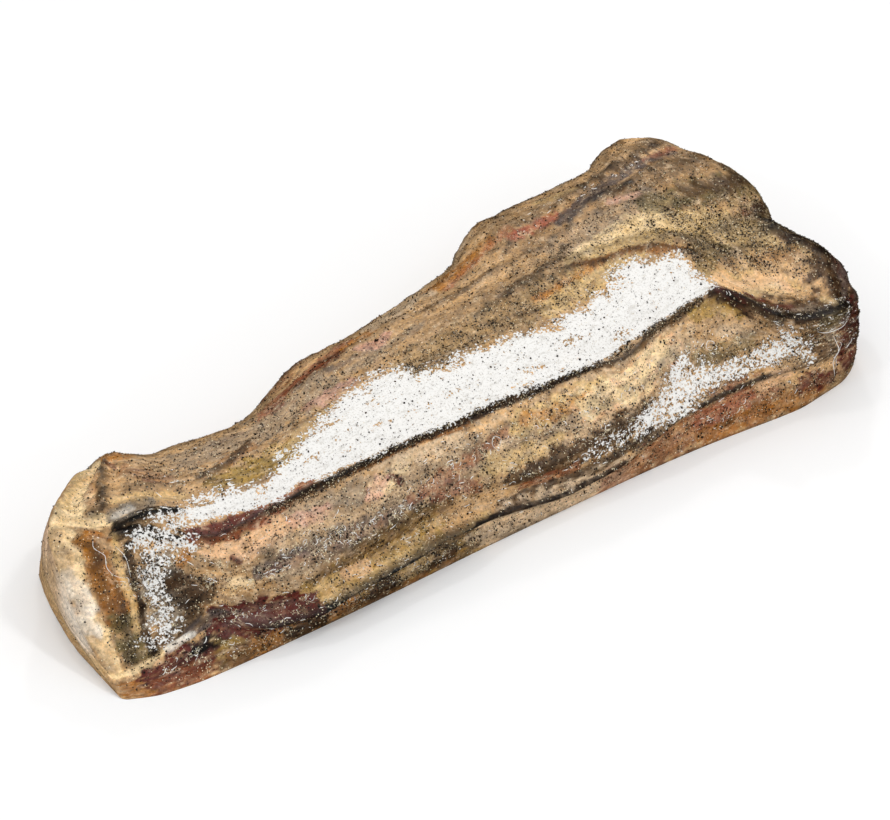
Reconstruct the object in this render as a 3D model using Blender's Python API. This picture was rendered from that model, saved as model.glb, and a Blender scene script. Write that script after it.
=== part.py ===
# A whole flat pancetta: a folded, peppered slab of cured belly, narrow at one end and broad at the other.
# The long front side is the folded edge: an upper flap hangs over a lower layer, with a gap between them.
# Its narrow end is folded over like a parcel and pinched, its broad end is lobed.
# Lengths below are in millimetres and are turned to metres when the mesh is made.

import math
import random

import bmesh
import bpy
import numpy as np
from mathutils import Euler, Vector, noise

MM = 0.001

# Driving sizes
LENGTH = 473.0          # station of the last full section; the lobes reach a little past it
SLAB_HEIGHT = 72.0      # at the crown of the broad end
NARROW_ROUND = 3.5      # how far the top and sides draw in at the narrow end
BROAD_ROUND = 15.0      # the same at the broad end
FLOOR_ROUND = 2.0       # lift of the lower edge at both ends
NARROW_BULGE = 4.0      # how far the end faces stand out at their middle
BROAD_BULGE = 3.0

# Mesh density
STATIONS = 46
LOW_STEPS = (0.0, 0.30, 0.56, 0.76, 0.90)   # shares of the way from the foot up to the low line
FLAP_STEPS = 17         # points from the low line up to the high line
TOP_STEPS = 14          # from the high line over the crown
BACK_STEPS = 9          # down the back
FLOOR_POINTS = 6        # across the flat underside
CROWN_SHARE = 0.50      # where the top meets the back
END_STEPS = 4           # rings that round each end
CAP_SHARES = (0.88, 0.68, 0.44, 0.20)
CAP_SMOOTHING = 4

# Cracked pepper: only the largest grains, the rest is far finer
GRAIN_COUNT = 84
GRAIN_WIDTH = (2.3, 3.3)
GRAIN_SPACING = 11.0
GRAIN_SUNK = 0.30
GRAIN_SEED = 7

# The section is a curve through seven lines that run along the piece, from the front foot over the top.
# Each line is given by (along, across, up) points.
FRONT_FOOT = ((0, -3, 0), (20, -10, 0), (45, -12, 0), (110, -10, 0), (240, -2, 0), (350, 2, 0),
              (420, 0, 0), (450, 4, 0), (LENGTH, 9, 0))
FRONT_BELLY = ((0, 34, 27), (20, 26, 31), (45, 12, 33), (70, 0, 31), (110, -3, 31), (170, 4, 32),
               (310, 6, 32), (390, 12, 34), (450, 2, 31), (LENGTH, 2, 29))
CREASE_LINE = ((0, 74, 55), (20, 55, 59), (45, 42, 60), (70, 31, 57), (110, 28, 58), (170, 34, 60),
               (310, 34, 60), (350, 42, 62), (390, 52, 63), (420, 34, 60), (450, 22, 58), (LENGTH, 20, 54))
CROWN_LINE = ((0, 90, 61), (45, 75, 67), (70, 65, 63), (110, 62, 64), (170, 78, 67), (240, 88, 70),
              (310, 102, 71), (390, 120, SLAB_HEIGHT + 1), (450, 112, SLAB_HEIGHT), (LENGTH, 104, 68))
BACK_SHOULDER = ((0, 100, 56), (45, 106, 57), (70, 94, 55), (110, 93, 55), (170, 117, 57), (240, 134, 58),
                 (288, 151, 57), (305, 166, 57), (322, 179, 57), (360, 180, 57), (400, 187, 58),
                 (428, 200, 60), (450, 203, 60), (LENGTH, 190, 52))
BACK_BELLY = ((0, 106, 30), (45, 120, 28), (70, 109, 28), (110, 107, 28), (170, 135, 28), (240, 152, 28),
              (290, 167, 28), (310, 184, 28), (330, 194, 28), (400, 202, 28), (440, 212, 28),
              (LENGTH, 202, 26))
BACK_FOOT = ((0, 98, 0), (45, 110, 0), (70, 98, 0), (110, 96, 0), (170, 121, 0), (240, 138, 0),
             (290, 151, 0), (330, 178, 0), (400, 188, 0), (440, 199, 0), (LENGTH, 188, 0))
LINES = (FRONT_FOOT, FRONT_BELLY, CREASE_LINE, CROWN_LINE, BACK_SHOULDER, BACK_BELLY, BACK_FOOT)
LINE_SHARES = np.array((0.0, 0.12, 0.24, 0.40, 0.56, 0.66, 0.74))   # where each line lies round the section

# The narrow end leans inward with height, most at its back corner
LEAN_HEIGHT = 55.0
LEAN_FRONT = 5.0
LEAN_BACK = 27.0
LEAN_TURN = (70.0, 106.0)
LEAN_CURVE = 1.2

# Plan outlines of the two ends, as (across, along). The broad end has three lobes with notches between them.
NARROW_EDGE = ((-12, 2), (0, 0), (20, -3), (45, -6), (75, -5), (100, -1), (115, 1))
NARROW_REACH = 60.0
BROAD_EDGE = ((-12, 456), (0, 463), (10, 470), (25, 478), (42, 481), (56, 476), (68, 468), (80, 458),
              (96, 465), (118, 472), (138, 470), (158, 464), (178, 458), (205, 449))
BROAD_REACH = 75.0

# Share of the folds' relief that is left at the sharp rim of the narrow end, and how soon it is full
END_RELIEF = 0.55
END_RELIEF_REACH = 9.0

# Two lines that the folds follow, as (along, share round the section) points.
# The low line is the pale ridge of the parcel end, the gap under the flap, then the seam of the broad half.
LOW_LINE = ((0, 0.022), (18, 0.032), (32, 0.046), (44, 0.063), (58, 0.086), (69, 0.074), (85, 0.058),
            (105, 0.058), (127, 0.069), (160, 0.068), (185, 0.079), (212, 0.072), (235, 0.060), (266, 0.048),
            (300, 0.060), (319, 0.082), (341, 0.102), (387, 0.100), (423, 0.106), (450, 0.128),
            (LENGTH, 0.132))
# The high line is the pinch, the crease along the top of the flap, then the hollow under the fat lobe.
HIGH_LINE = ((0, 0.252), (11, 0.240), (22, 0.240), (48, 0.250), (60, 0.228), (72, 0.222), (94, 0.230),
             (126, 0.241), (147, 0.231), (195, 0.237), (249, 0.244), (299, 0.240), (321, 0.231),
             (344, 0.240), (378, 0.238), (392, 0.240), (401, 0.223), (411, 0.199), (421, 0.192),
             (436, 0.196), (450, 0.205), (LENGTH, 0.214))
PINCH_CURL = ((28, 0.246), (34, 0.262), (44, 0.285), (54, 0.294))
TOP_VALLEY = ((180, 0.445), (240, 0.420), (300, 0.400), (350, 0.385), (400, 0.330), (425, 0.310))
TOP_RIDGE = ((210, 0.480), (290, 0.455), (360, 0.440), (430, 0.420))

# Folds that run across the piece, as (share round the section, along) points
PANEL_PLEAT = ((0.050, 19), (0.110, 24), (0.170, 28), (0.225, 31))
END_LOBE = ((0.275, 9), (0.330, 8), (0.400, 10), (0.450, 14))
END_VALLEY = ((0.270, 22), (0.330, 21), (0.400, 24), (0.450, 27))
DOME_VALLEY = ((0.300, 446), (0.345, 452), (0.380, 462))


def clear_scene():
    for old in list(bpy.data.objects):
        bpy.data.objects.remove(old, do_unlink=True)


def smooth_step(low, high, value):
    share = np.clip((value - low) / (high - low), 0.0, 1.0)
    return share * share * (3.0 - 2.0 * share)


def smooth_line(places, values, at):
    """A curve through points that doesn't swing past them."""
    places = np.asarray(places, float)
    values = np.asarray(values, float)
    step = np.diff(places)
    slope = (np.diff(values, axis=0).T / step).T
    tangent = np.zeros_like(values)
    tangent[0] = slope[0]
    tangent[-1] = slope[-1]
    same_way = slope[:-1] * slope[1:] > 0
    total = slope[:-1] + slope[1:]
    tangent[1:-1] = np.where(same_way, 2 * slope[:-1] * slope[1:] / np.where(same_way, total, 1.0), 0.0)
    at = np.clip(np.asarray(at, float), places[0], places[-1])
    cell = np.clip(np.searchsorted(places, at, side="right") - 1, 0, len(step) - 1)
    if values.ndim > 1:
        shape = at.shape + (1,) * (values.ndim - 1)
    else:
        shape = at.shape
    part = ((at - places[cell]) / step[cell]).reshape(shape)
    width = step[cell].reshape(shape)
    start = (1 + 2 * part) * (1 - part) ** 2
    end = part * part * (3 - 2 * part)
    leave = part * (1 - part) ** 2 * width
    arrive = part * part * (part - 1) * width
    return (start * values[cell] + end * values[cell + 1]
            + leave * tangent[cell] + arrive * tangent[cell + 1])


def section_curve(knots, shares):
    """A natural cubic through the seven line points of each section, at that section's own shares."""
    gap = np.diff(LINE_SHARES)
    count = len(LINE_SHARES)
    system = np.eye(count)
    load = np.zeros((len(knots), count, 2))
    for i in range(1, count - 1):
        system[i, i - 1:i + 2] = (gap[i - 1], 2 * (gap[i - 1] + gap[i]), gap[i])
        load[:, i] = 6 * ((knots[:, i + 1] - knots[:, i]) / gap[i] - (knots[:, i] - knots[:, i - 1]) / gap[i - 1])
    bend = np.einsum("ij,njk->nik", np.linalg.inv(system), load)
    cell = np.clip(np.searchsorted(LINE_SHARES, shares, side="right") - 1, 0, count - 2)
    row = np.arange(len(knots))[:, None]
    width = gap[cell][..., None]
    near = (LINE_SHARES[cell + 1] - shares)[..., None] / width
    far = 1 - near
    return (near * knots[row, cell] + far * knots[row, cell + 1]
            + ((near ** 3 - near) * bend[row, cell] + (far ** 3 - far) * bend[row, cell + 1]) * width ** 2 / 6)


def section(along, shares):
    """Across and up for each station (rows) at its shares round the section (columns)."""
    knots = np.zeros((len(along), len(LINES), 2))
    for i, line in enumerate(LINES):
        points = np.array(line, float)
        knots[:, i] = smooth_line(points[:, 0], points[:, 1:], along)
    side = section_curve(knots, np.minimum(shares, LINE_SHARES[-1]))
    part = np.clip((shares - LINE_SHARES[-1]) / (1 - LINE_SHARES[-1]), 0.0, 1.0)[..., None]
    floor = knots[:, -1:] * (1 - part) + knots[:, :1] * part
    out = np.where(part > 0, floor, side)
    out[..., 1] = np.maximum(out[..., 1], 0.0)
    return out


def draw_in(along, start, radius, way):
    """How far a section has shrunk on its way round an end, as on a quarter circle."""
    reach = np.clip(way * (along - start) / radius, 0.0, 1.0)
    return 1 - np.sqrt(np.clip(1 - reach ** 2, 0.0, 1.0))


def narrow_face(across, up):
    """Where the narrow end's face lies along the piece: its plan outline, leaning in with height."""
    edge = smooth_line([p[0] for p in NARROW_EDGE], [p[1] for p in NARROW_EDGE], across)
    lean = LEAN_FRONT + (LEAN_BACK - LEAN_FRONT) * smooth_step(*LEAN_TURN, across)
    return edge + lean * (np.clip(up, 0, None) / LEAN_HEIGHT) ** LEAN_CURVE


def broad_face(across, up):
    """The same for the broad end, whose lobes run from the floor to the top."""
    return smooth_line([p[0] for p in BROAD_EDGE], [p[1] for p in BROAD_EDGE], across) + 0 * up


def base_body(along, shares):
    """The smooth slab, as points (stations, shares, 3)."""
    flat = section(along, shares)
    middle = (flat[..., 0].min(1) + flat[..., 0].max(1)) / 2
    half = (flat[..., 0].max(1) - flat[..., 0].min(1)) / 2
    height = flat[..., 1].max(1)
    near = draw_in(along, NARROW_ROUND, NARROW_ROUND, -1)
    far = draw_in(along, LENGTH - BROAD_ROUND, BROAD_ROUND, 1)
    inset = NARROW_ROUND * near + BROAD_ROUND * far
    across = middle[:, None] + (flat[..., 0] - middle[:, None]) * (1 - inset / half)[:, None]
    up = flat[..., 1] * (1 - inset / height)[:, None]
    lift = FLOOR_ROUND * (near ** 2 + far ** 2)[:, None]
    up = up + lift * np.clip(1 - up / (6 * FLOOR_ROUND), 0.0, 1.0)
    near_end = (1 - smooth_step(0, NARROW_REACH, along))[:, None]
    far_end = smooth_step(LENGTH - BROAD_REACH, LENGTH, along)[:, None]
    x = along[:, None] + narrow_face(across, up) * near_end + (broad_face(across, up) - LENGTH) * far_end
    return np.stack((x, across, up), -1)


def outward(points):
    """Unit normals of a closed grid of rings."""
    along = np.gradient(points, axis=0)
    around = np.roll(points, -1, 1) - np.roll(points, 1, 1)
    normal = np.cross(around, along)
    return normal / np.maximum(np.linalg.norm(normal, axis=-1, keepdims=True), 1e-9)


def girth(along, shares):
    """Length in millimetres round the section from the front foot to each share."""
    fine = np.linspace(0.0, 1.0, 201)
    flat = section(along, np.repeat(fine[None], len(along), 0))
    length = np.zeros(flat.shape[:2])
    length[:, 1:] = np.cumsum(np.linalg.norm(np.diff(flat, axis=1), axis=2), axis=1)
    return np.array([np.interp(share, fine, row) for share, row in zip(shares, length)])


def path_girth(along, path):
    share = smooth_line([p[0] for p in path], [p[1] for p in path], along)
    return girth(along, share[:, None])


def long_fold(chart, path, stretch, height, width, shift=0.0, fade=14.0):
    """A ridge, or a groove where height is below zero, beside a path, over a stretch of the piece."""
    along, shares, round_mm = chart
    away = (round_mm - path_girth(along, path) - shift) / width
    start, end = stretch
    ends = smooth_step(start - fade, start + fade, along) * (1 - smooth_step(end - fade, end + fade, along))
    return height * ends[:, None] * np.exp(-away ** 2)


def cross_fold(chart, path, height, width, fade=0.03):
    """The same for a fold that runs across the piece."""
    along, shares, round_mm = chart
    centre = smooth_line([p[0] for p in path], [p[1] for p in path], shares)
    away = (along[:, None] - centre) / width
    ends = smooth_step(path[0][0] - fade, path[0][0] + fade / 2, shares)
    ends = ends * (1 - smooth_step(path[-1][0] - fade / 2, path[-1][0] + fade, shares))
    return height * ends * np.exp(-away ** 2)


def bump(chart, place, share, height, length, breadth):
    """A rounded swelling, or a dent where height is below zero."""
    along, shares, round_mm = chart
    centre = girth(along, np.full((len(along), 1), share))
    away = ((along[:, None] - place) / length) ** 2 + ((round_mm - centre) / breadth) ** 2
    return height * np.exp(-away)


def flap_and_layer(chart):
    """The upper flap's rounded lip, the gap below it and the edge of the lower layer."""
    relief = long_fold(chart, LOW_LINE, (66, 270), 3.6, 5.5, shift=8.0, fade=20)
    relief += long_fold(chart, LOW_LINE, (72, 206), -8.0, 2.6, fade=18)
    relief += long_fold(chart, LOW_LINE, (206, 300), -3.0, 2.6, fade=18)
    relief += long_fold(chart, LOW_LINE, (70, 290), 2.4, 4.0, shift=-6.5)
    return relief


def front_creases(chart):
    """The crease that runs above the flap, and the seam low on the broad half."""
    relief = long_fold(chart, HIGH_LINE, (56, 392), -2.6, 2.2)
    relief += long_fold(chart, HIGH_LINE, (62, 392), 1.4, 7.0, shift=8.0)
    relief += long_fold(chart, HIGH_LINE, (62, 392), 1.2, 7.0, shift=-9.0)
    relief += long_fold(chart, LOW_LINE, (304, 452), -3.4, 2.6)
    relief += long_fold(chart, LOW_LINE, (304, 470), 2.0, 6.0, shift=-9.0)
    return relief


def parcel_end(chart):
    """Pinch, pleat, hollow panel and fat lobes of the narrow end."""
    relief = long_fold(chart, HIGH_LINE, (-20, 30), 3.2, 3.4, fade=8)
    relief += long_fold(chart, PINCH_CURL, (30, 56), 3.2, 3.4, fade=7)
    relief += long_fold(chart, HIGH_LINE, (33, 54), -4.2, 4.4, shift=1.0, fade=8)
    relief += long_fold(chart, LOW_LINE, (4, 60), 3.2, 3.2, fade=8)
    relief += cross_fold(chart, PANEL_PLEAT, 2.4, 3.0)
    relief += bump(chart, 42, 0.150, -3.6, 13, 17)
    relief += cross_fold(chart, END_LOBE, 2.6, 6.0)
    relief += cross_fold(chart, END_VALLEY, -2.4, 4.0)
    return relief


def broad_end(chart):
    """The hollow under the fat lobe, the lobe itself and the swellings behind it."""
    relief = long_fold(chart, HIGH_LINE, (402, 460), -8.0, 6.0, fade=12)
    relief += bump(chart, 434, 0.265, 5.0, 28, 15)
    relief += bump(chart, 462, 0.160, 3.0, 16, 24)
    relief += bump(chart, 330, 0.590, 2.5, 20, 22)
    relief += bump(chart, 436, 0.540, 2.6, 24, 26)
    relief += cross_fold(chart, DOME_VALLEY, -3.0, 9.0)
    return relief


def top_relief(chart):
    """Shallow lengthwise waves of fat and meat on the top."""
    relief = long_fold(chart, TOP_VALLEY, (200, 410), -1.6, 9.0, fade=40)
    relief += long_fold(chart, TOP_RIDGE, (230, 420), 1.4, 12.0, fade=40)
    return relief


def uneven(points):
    """Slow unevenness, drawn out along the piece."""
    out = np.zeros(points.shape[:2])
    for index in np.ndindex(*out.shape):
        x, y, z = points[index]
        slow = noise.noise(Vector((x / 52, y / 24, z / 22 + 3.0)))
        quick = noise.noise(Vector((x / 24 + 9.0, y / 10, z / 11)))
        out[index] = 1.9 * slow + 0.9 * quick
    return out


def ring_shares(along):
    """Shares round each section. Two columns follow the low and high lines, and others crowd beside them."""
    low = smooth_line([p[0] for p in LOW_LINE], [p[1] for p in LOW_LINE], along)[:, None]
    high = smooth_line([p[0] for p in HIGH_LINE], [p[1] for p in HIGH_LINE], along)[:, None]
    flap = (1 - np.cos(np.linspace(0, math.pi, FLAP_STEPS + 1)[:-1])) / 2
    top = np.linspace(0, 1, TOP_STEPS + 1)[:-1] ** 1.25
    back = np.linspace(CROWN_SHARE, LINE_SHARES[-1], BACK_STEPS + 1)
    floor = np.linspace(LINE_SHARES[-1], 1.0, FLOOR_POINTS + 2)[1:-1]
    rest = np.repeat(np.concatenate((back, floor))[None], len(along), 0)
    return np.hstack((low * np.array(LOW_STEPS), low + (high - low) * flap,
                      high + (CROWN_SHARE - high) * top, rest))


def station_places():
    """Stations along the piece: quarter circles at both ends, closer where it is folded."""
    turn = np.linspace(0, math.pi / 2, END_STEPS + 1)
    near = NARROW_ROUND * (1 - np.cos(turn))
    far = LENGTH - BROAD_ROUND * (1 - np.sin(turn))
    knots = (0.0, 0.20, 0.78, 1.0)
    places = (NARROW_ROUND, 70.0, 385.0, LENGTH - BROAD_ROUND)
    middle = np.interp(np.linspace(0, 1, STATIONS), knots, places)
    return np.concatenate((near[:-1], middle, far[1:]))


def body_rings():
    along = station_places()
    shares = ring_shares(along)
    points = base_body(along, shares)
    chart = (along, shares, girth(along, shares))
    relief = flap_and_layer(chart) + front_creases(chart) + parcel_end(chart) + broad_end(chart)
    relief += top_relief(chart) + uneven(points)
    relief *= (END_RELIEF + (1 - END_RELIEF) * smooth_step(0, END_RELIEF_REACH, along))[:, None]
    off_floor = smooth_step(0.0, 6.0, points[..., 2])
    off_floor[shares >= LINE_SHARES[-1]] = 0.0
    points = points + outward(points) * (relief * off_floor)[..., None]
    points[..., 2] = np.maximum(points[..., 2], 0.0)
    return points


def cap_rings(ring, face, bulge):
    """Ever smaller and smoother copies of an end ring that close it, on that end's face, slightly crowned."""
    centre = ring.mean(0)
    centre[2] = ring[:, 2].max() / 2
    even = ring.copy()
    rings = []
    for share in CAP_SHARES:
        for _ in range(CAP_SMOOTHING):
            even = (np.roll(even, 1, 0) + 2 * even + np.roll(even, -1, 0)) / 4
        proud = even[:, 0] - face(even[:, 1], even[:, 2])
        copy = centre + (even - centre) * share
        copy[:, 0] = face(copy[:, 1], copy[:, 2]) + proud * share ** 2 + bulge * (1 - share ** 2)
        rings.append(copy)
    return rings


def first_ring(bm, ring):
    verts = [bm.verts.new(point * MM) for point in ring]
    edges = [bm.edges.new((vert, verts[(i + 1) % len(verts)])) for i, vert in enumerate(verts)]
    return verts, edges


def next_ring(bm, verts, edges, ring):
    """Extrude a ring of edges and set the new ring's points."""
    made = bmesh.ops.extrude_edge_only(bm, edges=edges)["geom"]
    fresh = {item for item in made if isinstance(item, bmesh.types.BMVert)}
    new_verts = []
    for vert, point in zip(verts, ring):
        copy = next(edge.other_vert(vert) for edge in vert.link_edges if edge.other_vert(vert) in fresh)
        copy.co = point * MM
        new_verts.append(copy)
    count = len(new_verts)
    new_edges = [bm.edges.get((new_verts[i], new_verts[(i + 1) % count])) for i in range(count)]
    return new_verts, new_edges


def loft(rings):
    bm = bmesh.new()
    verts, edges = first_ring(bm, rings[0])
    bmesh.ops.contextual_create(bm, geom=edges)
    for ring in rings[1:]:
        verts, edges = next_ring(bm, verts, edges, ring)
    bmesh.ops.contextual_create(bm, geom=edges)
    bmesh.ops.recalc_face_normals(bm, faces=bm.faces[:])
    bmesh.ops.triangulate(bm, faces=bm.faces[:], quad_method="BEAUTY", ngon_method="BEAUTY")
    return bm


def cured_belly_material():
    """Cured fat and lean under a thin gloss: amber brown."""
    material = bpy.data.materials.new("cured_belly")
    material.use_nodes = True
    shader = material.node_tree.nodes["Principled BSDF"]
    shader.inputs["Base Color"].default_value = (0.30, 0.17, 0.075, 1.0)
    shader.inputs["Roughness"].default_value = 0.42
    shader.inputs["Metallic"].default_value = 0.0
    return material


def add_slab(material):
    points = body_rings()
    rings = cap_rings(points[0], narrow_face, -NARROW_BULGE)[::-1] + list(points)
    rings += cap_rings(points[-1], broad_face, BROAD_BULGE)
    bm = loft(rings)
    mesh = bpy.data.meshes.new("pancetta")
    bm.to_mesh(mesh)
    bm.free()
    mesh.materials.append(material)
    slab = bpy.data.objects.new("pancetta", mesh)
    bpy.context.collection.objects.link(slab)
    return slab


def pepper_weight(point, normal):
    """Pepper lies thickest on the top of the broad end, and on the front flap."""
    if normal.z < -0.1 or point.z < 9 * MM:
        return 0.0
    broad = min(max(point.x / (LENGTH * MM), 0.0), 1.0)
    return (0.35 + 0.65 * broad) * (0.3 + 0.7 * max(normal.z, 0.0) + 0.5 * max(-normal.y, 0.0))


def pepper_places(mesh, draw):
    """Spots on the surface, drawn by weight and kept apart."""
    faces = [face for face in mesh.polygons]
    weights = [face.area * pepper_weight(face.center, face.normal) for face in faces]
    places = []
    while len(places) < GRAIN_COUNT:
        face = draw.choices(faces, weights)[0]
        if all((face.center - other).length > GRAIN_SPACING * MM for other, _ in places):
            places.append((face.center.copy(), face.normal.copy()))
    return places


def add_grain(place, normal, material, collection, draw):
    """One cracked peppercorn: a small uneven ball, partly sunk."""
    width = draw.uniform(*GRAIN_WIDTH) * MM
    mesh = bpy.data.meshes.new("grain")
    bm = bmesh.new()
    bmesh.ops.create_icosphere(bm, subdivisions=1, radius=width / 2)
    squeeze = Vector((draw.uniform(0.85, 1.2), draw.uniform(0.85, 1.1), draw.uniform(0.75, 0.95)))
    turn = Euler([draw.uniform(0, math.tau) for _ in range(3)])
    for vert in bm.verts:
        vert.co = vert.co * squeeze
        vert.co.rotate(turn)
        vert.co += place + normal * width * (0.5 - GRAIN_SUNK)
    bm.to_mesh(mesh)
    bm.free()
    mesh.materials.append(material)
    grain = bpy.data.objects.new("grain", mesh)
    collection.objects.link(grain)


def fuse_pepper(slab, material):
    draw = random.Random(GRAIN_SEED)
    collection = bpy.data.collections.new("pepper")
    bpy.context.scene.collection.children.link(collection)
    for place, normal in pepper_places(slab.data, draw):
        add_grain(place, normal, material, collection, draw)
    union = slab.modifiers.new("pepper", "BOOLEAN")
    union.operation = "UNION"
    union.operand_type = "COLLECTION"
    union.collection = collection
    union.solver = "EXACT"
    fused = bpy.data.meshes.new_from_object(slab.evaluated_get(bpy.context.evaluated_depsgraph_get()))
    slab.modifiers.clear()
    slab.data = fused
    for grain in list(collection.objects):
        bpy.data.objects.remove(grain, do_unlink=True)
    bpy.data.collections.remove(collection)


def islands(bm):
    """The separate bodies of a mesh, each a list of its vertices."""
    left = set(bm.verts)
    found = []
    while left:
        reached = [left.pop()]
        for vert in reached:
            fresh = [edge.other_vert(vert) for edge in vert.link_edges if edge.other_vert(vert) in left]
            left.difference_update(fresh)
            reached.extend(fresh)
        found.append(reached)
    return found


def stand_at_origin(slab):
    """Put the middle of the underside's box at the origin."""
    corners = np.array([vert.co for vert in slab.data.vertices])
    low = corners.min(0)
    high = corners.max(0)
    shift = Vector((-(low[0] + high[0]) / 2, -(low[1] + high[1]) / 2, -low[2]))
    for vert in slab.data.vertices:
        vert.co += shift


def finish_mesh(slab):
    bm = bmesh.new()
    bm.from_mesh(slab.data)
    bmesh.ops.remove_doubles(bm, verts=bm.verts[:], dist=0.00002)
    bmesh.ops.dissolve_degenerate(bm, edges=bm.edges[:], dist=0.00002)
    for scrap in sorted(islands(bm), key=len)[:-1]:
        bmesh.ops.delete(bm, geom=scrap, context="VERTS")
    bmesh.ops.triangulate(bm, faces=bm.faces[:])
    bm.to_mesh(slab.data)
    bm.free()
    slab.data.shade_smooth()
    slab.data.set_sharp_from_angle(angle=math.radians(50))


def build():
    clear_scene()
    material = cured_belly_material()
    slab = add_slab(material)
    fuse_pepper(slab, material)
    finish_mesh(slab)
    stand_at_origin(slab)


build()
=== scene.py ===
# A whole flat pancetta: cured, peppered belly with white bloom, lying on its flat underside.
# The slab is one dense mesh that keeps the imported form, with the bloom as a crust on it.
# Pepper grains, wet folds and pleats are their own pieces; the folds, the pleats and the palest grains are
# near white, as painted highlights.
# Lengths in the dictionaries are millimetres, places are (along the piece, band round it):
# band 0 is the front foot, 1 the gap under the flap, 2 the crease on top, 3 the crown, 4 the back foot,
# and from 4 to 5 it crosses the floor.
import math
import bpy
import numpy as np
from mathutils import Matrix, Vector, noise


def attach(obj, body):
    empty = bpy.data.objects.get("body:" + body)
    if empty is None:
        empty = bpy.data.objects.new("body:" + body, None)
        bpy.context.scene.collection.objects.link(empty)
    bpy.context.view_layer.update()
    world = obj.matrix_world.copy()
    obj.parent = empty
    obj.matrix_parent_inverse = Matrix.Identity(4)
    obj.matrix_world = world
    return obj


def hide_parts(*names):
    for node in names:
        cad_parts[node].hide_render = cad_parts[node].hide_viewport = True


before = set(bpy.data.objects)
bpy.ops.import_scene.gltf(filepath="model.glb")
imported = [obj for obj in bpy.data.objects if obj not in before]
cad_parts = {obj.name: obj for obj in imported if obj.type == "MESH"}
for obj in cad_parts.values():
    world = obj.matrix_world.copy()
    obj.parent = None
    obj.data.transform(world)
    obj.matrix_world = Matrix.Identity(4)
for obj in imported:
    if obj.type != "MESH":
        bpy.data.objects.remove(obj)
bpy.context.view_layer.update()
mm = 0.001

# Form of the slab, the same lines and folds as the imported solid
slab = {
    "length": 473.0,
    "height": 72.0,
    "narrowRound": 3.5,
    "broadRound": 15.0,
    "floorRound": 2.0,
    "narrowBulge": 4.0,
    "broadBulge": 3.0,
    "stations": 470,
    "endSteps": 10,
    "bandColumns": (20, 60, 60, 26, 8),      # mesh columns in each band
    "capRings": 12,
    "capSmoothing": 30,
    "capFlow": 45.0,                         # how far the streaks run on over an end face
    "crownShare": 0.50,
    "leanHeight": 55.0,
    "leanFront": 5.0,
    "leanBack": 27.0,
    "leanTurn": (70.0, 106.0),
    "leanCurve": 1.2,
    "narrowReach": 60.0,
    "broadReach": 75.0,
    "endRelief": 0.55,
    "endReliefReach": 9.0,
    "toFrame": (-237.008, -98.690, 0.0),     # from the form's own zero to the middle of its underside
}
longEnd = slab["length"]
topUp = slab["height"]
frontFoot = ((0, -3, 0), (20, -10, 0), (45, -12, 0), (110, -10, 0), (240, -2, 0), (350, 2, 0),
             (420, 0, 0), (450, 4, 0), (longEnd, 9, 0))
frontBelly = ((0, 34, 27), (20, 26, 31), (45, 12, 33), (70, 0, 31), (110, -3, 31), (170, 4, 32),
              (310, 6, 32), (390, 12, 34), (450, 2, 31), (longEnd, 2, 29))
creaseEdge = ((0, 74, 55), (20, 55, 59), (45, 42, 60), (70, 31, 57), (110, 28, 58), (170, 34, 60),
              (310, 34, 60), (350, 42, 62), (390, 52, 63), (420, 34, 60), (450, 22, 58), (longEnd, 20, 54))
crownEdge = ((0, 90, 61), (45, 75, 67), (70, 65, 63), (110, 62, 64), (170, 78, 67), (240, 88, 70),
             (310, 102, 71), (390, 120, topUp + 1), (450, 112, topUp), (longEnd, 104, 68))
backShoulder = ((0, 100, 56), (45, 106, 57), (70, 94, 55), (110, 93, 55), (170, 117, 57), (240, 134, 58),
                (288, 151, 57), (305, 166, 57), (322, 179, 57), (360, 180, 57), (400, 187, 58),
                (428, 200, 60), (450, 203, 60), (longEnd, 190, 52))
backBelly = ((0, 106, 30), (45, 120, 28), (70, 109, 28), (110, 107, 28), (170, 135, 28), (240, 152, 28),
             (290, 167, 28), (310, 184, 28), (330, 194, 28), (400, 202, 28), (440, 212, 28),
             (longEnd, 202, 26))
backFoot = ((0, 98, 0), (45, 110, 0), (70, 98, 0), (110, 96, 0), (170, 121, 0), (240, 138, 0),
            (290, 151, 0), (330, 178, 0), (400, 188, 0), (440, 199, 0), (longEnd, 188, 0))
edges = (frontFoot, frontBelly, creaseEdge, crownEdge, backShoulder, backBelly, backFoot)
edgeShares = np.array((0.0, 0.12, 0.24, 0.40, 0.56, 0.66, 0.74))
narrowPlan = ((-12, 2), (0, 0), (20, -3), (45, -6), (75, -5), (100, -1), (115, 1))
broadPlan = ((-12, 456), (0, 463), (10, 470), (25, 478), (42, 481), (56, 476), (68, 468), (80, 458),
             (96, 465), (118, 472), (138, 470), (158, 464), (178, 458), (205, 449))
lowLine = ((0, 0.022), (18, 0.032), (32, 0.046), (44, 0.063), (58, 0.086), (69, 0.074), (85, 0.058),
           (105, 0.058), (127, 0.069), (160, 0.068), (185, 0.079), (212, 0.072), (235, 0.060), (266, 0.048),
           (300, 0.060), (319, 0.082), (341, 0.102), (387, 0.100), (423, 0.106), (450, 0.128),
           (longEnd, 0.132))
highLine = ((0, 0.252), (11, 0.240), (22, 0.240), (48, 0.250), (60, 0.228), (72, 0.222), (94, 0.230),
            (126, 0.241), (147, 0.231), (195, 0.237), (249, 0.244), (299, 0.240), (321, 0.231),
            (344, 0.240), (378, 0.238), (392, 0.240), (401, 0.223), (411, 0.199), (421, 0.192),
            (436, 0.196), (450, 0.205), (longEnd, 0.214))
pinchCurl = ((28, 0.246), (34, 0.262), (44, 0.285), (54, 0.294))
topValley = ((180, 0.445), (240, 0.420), (300, 0.400), (350, 0.385), (400, 0.330), (425, 0.310))
topRidge = ((210, 0.480), (290, 0.455), (360, 0.440), (430, 0.420))
panelPleat = ((0.050, 19), (0.110, 24), (0.170, 28), (0.225, 31))
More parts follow.
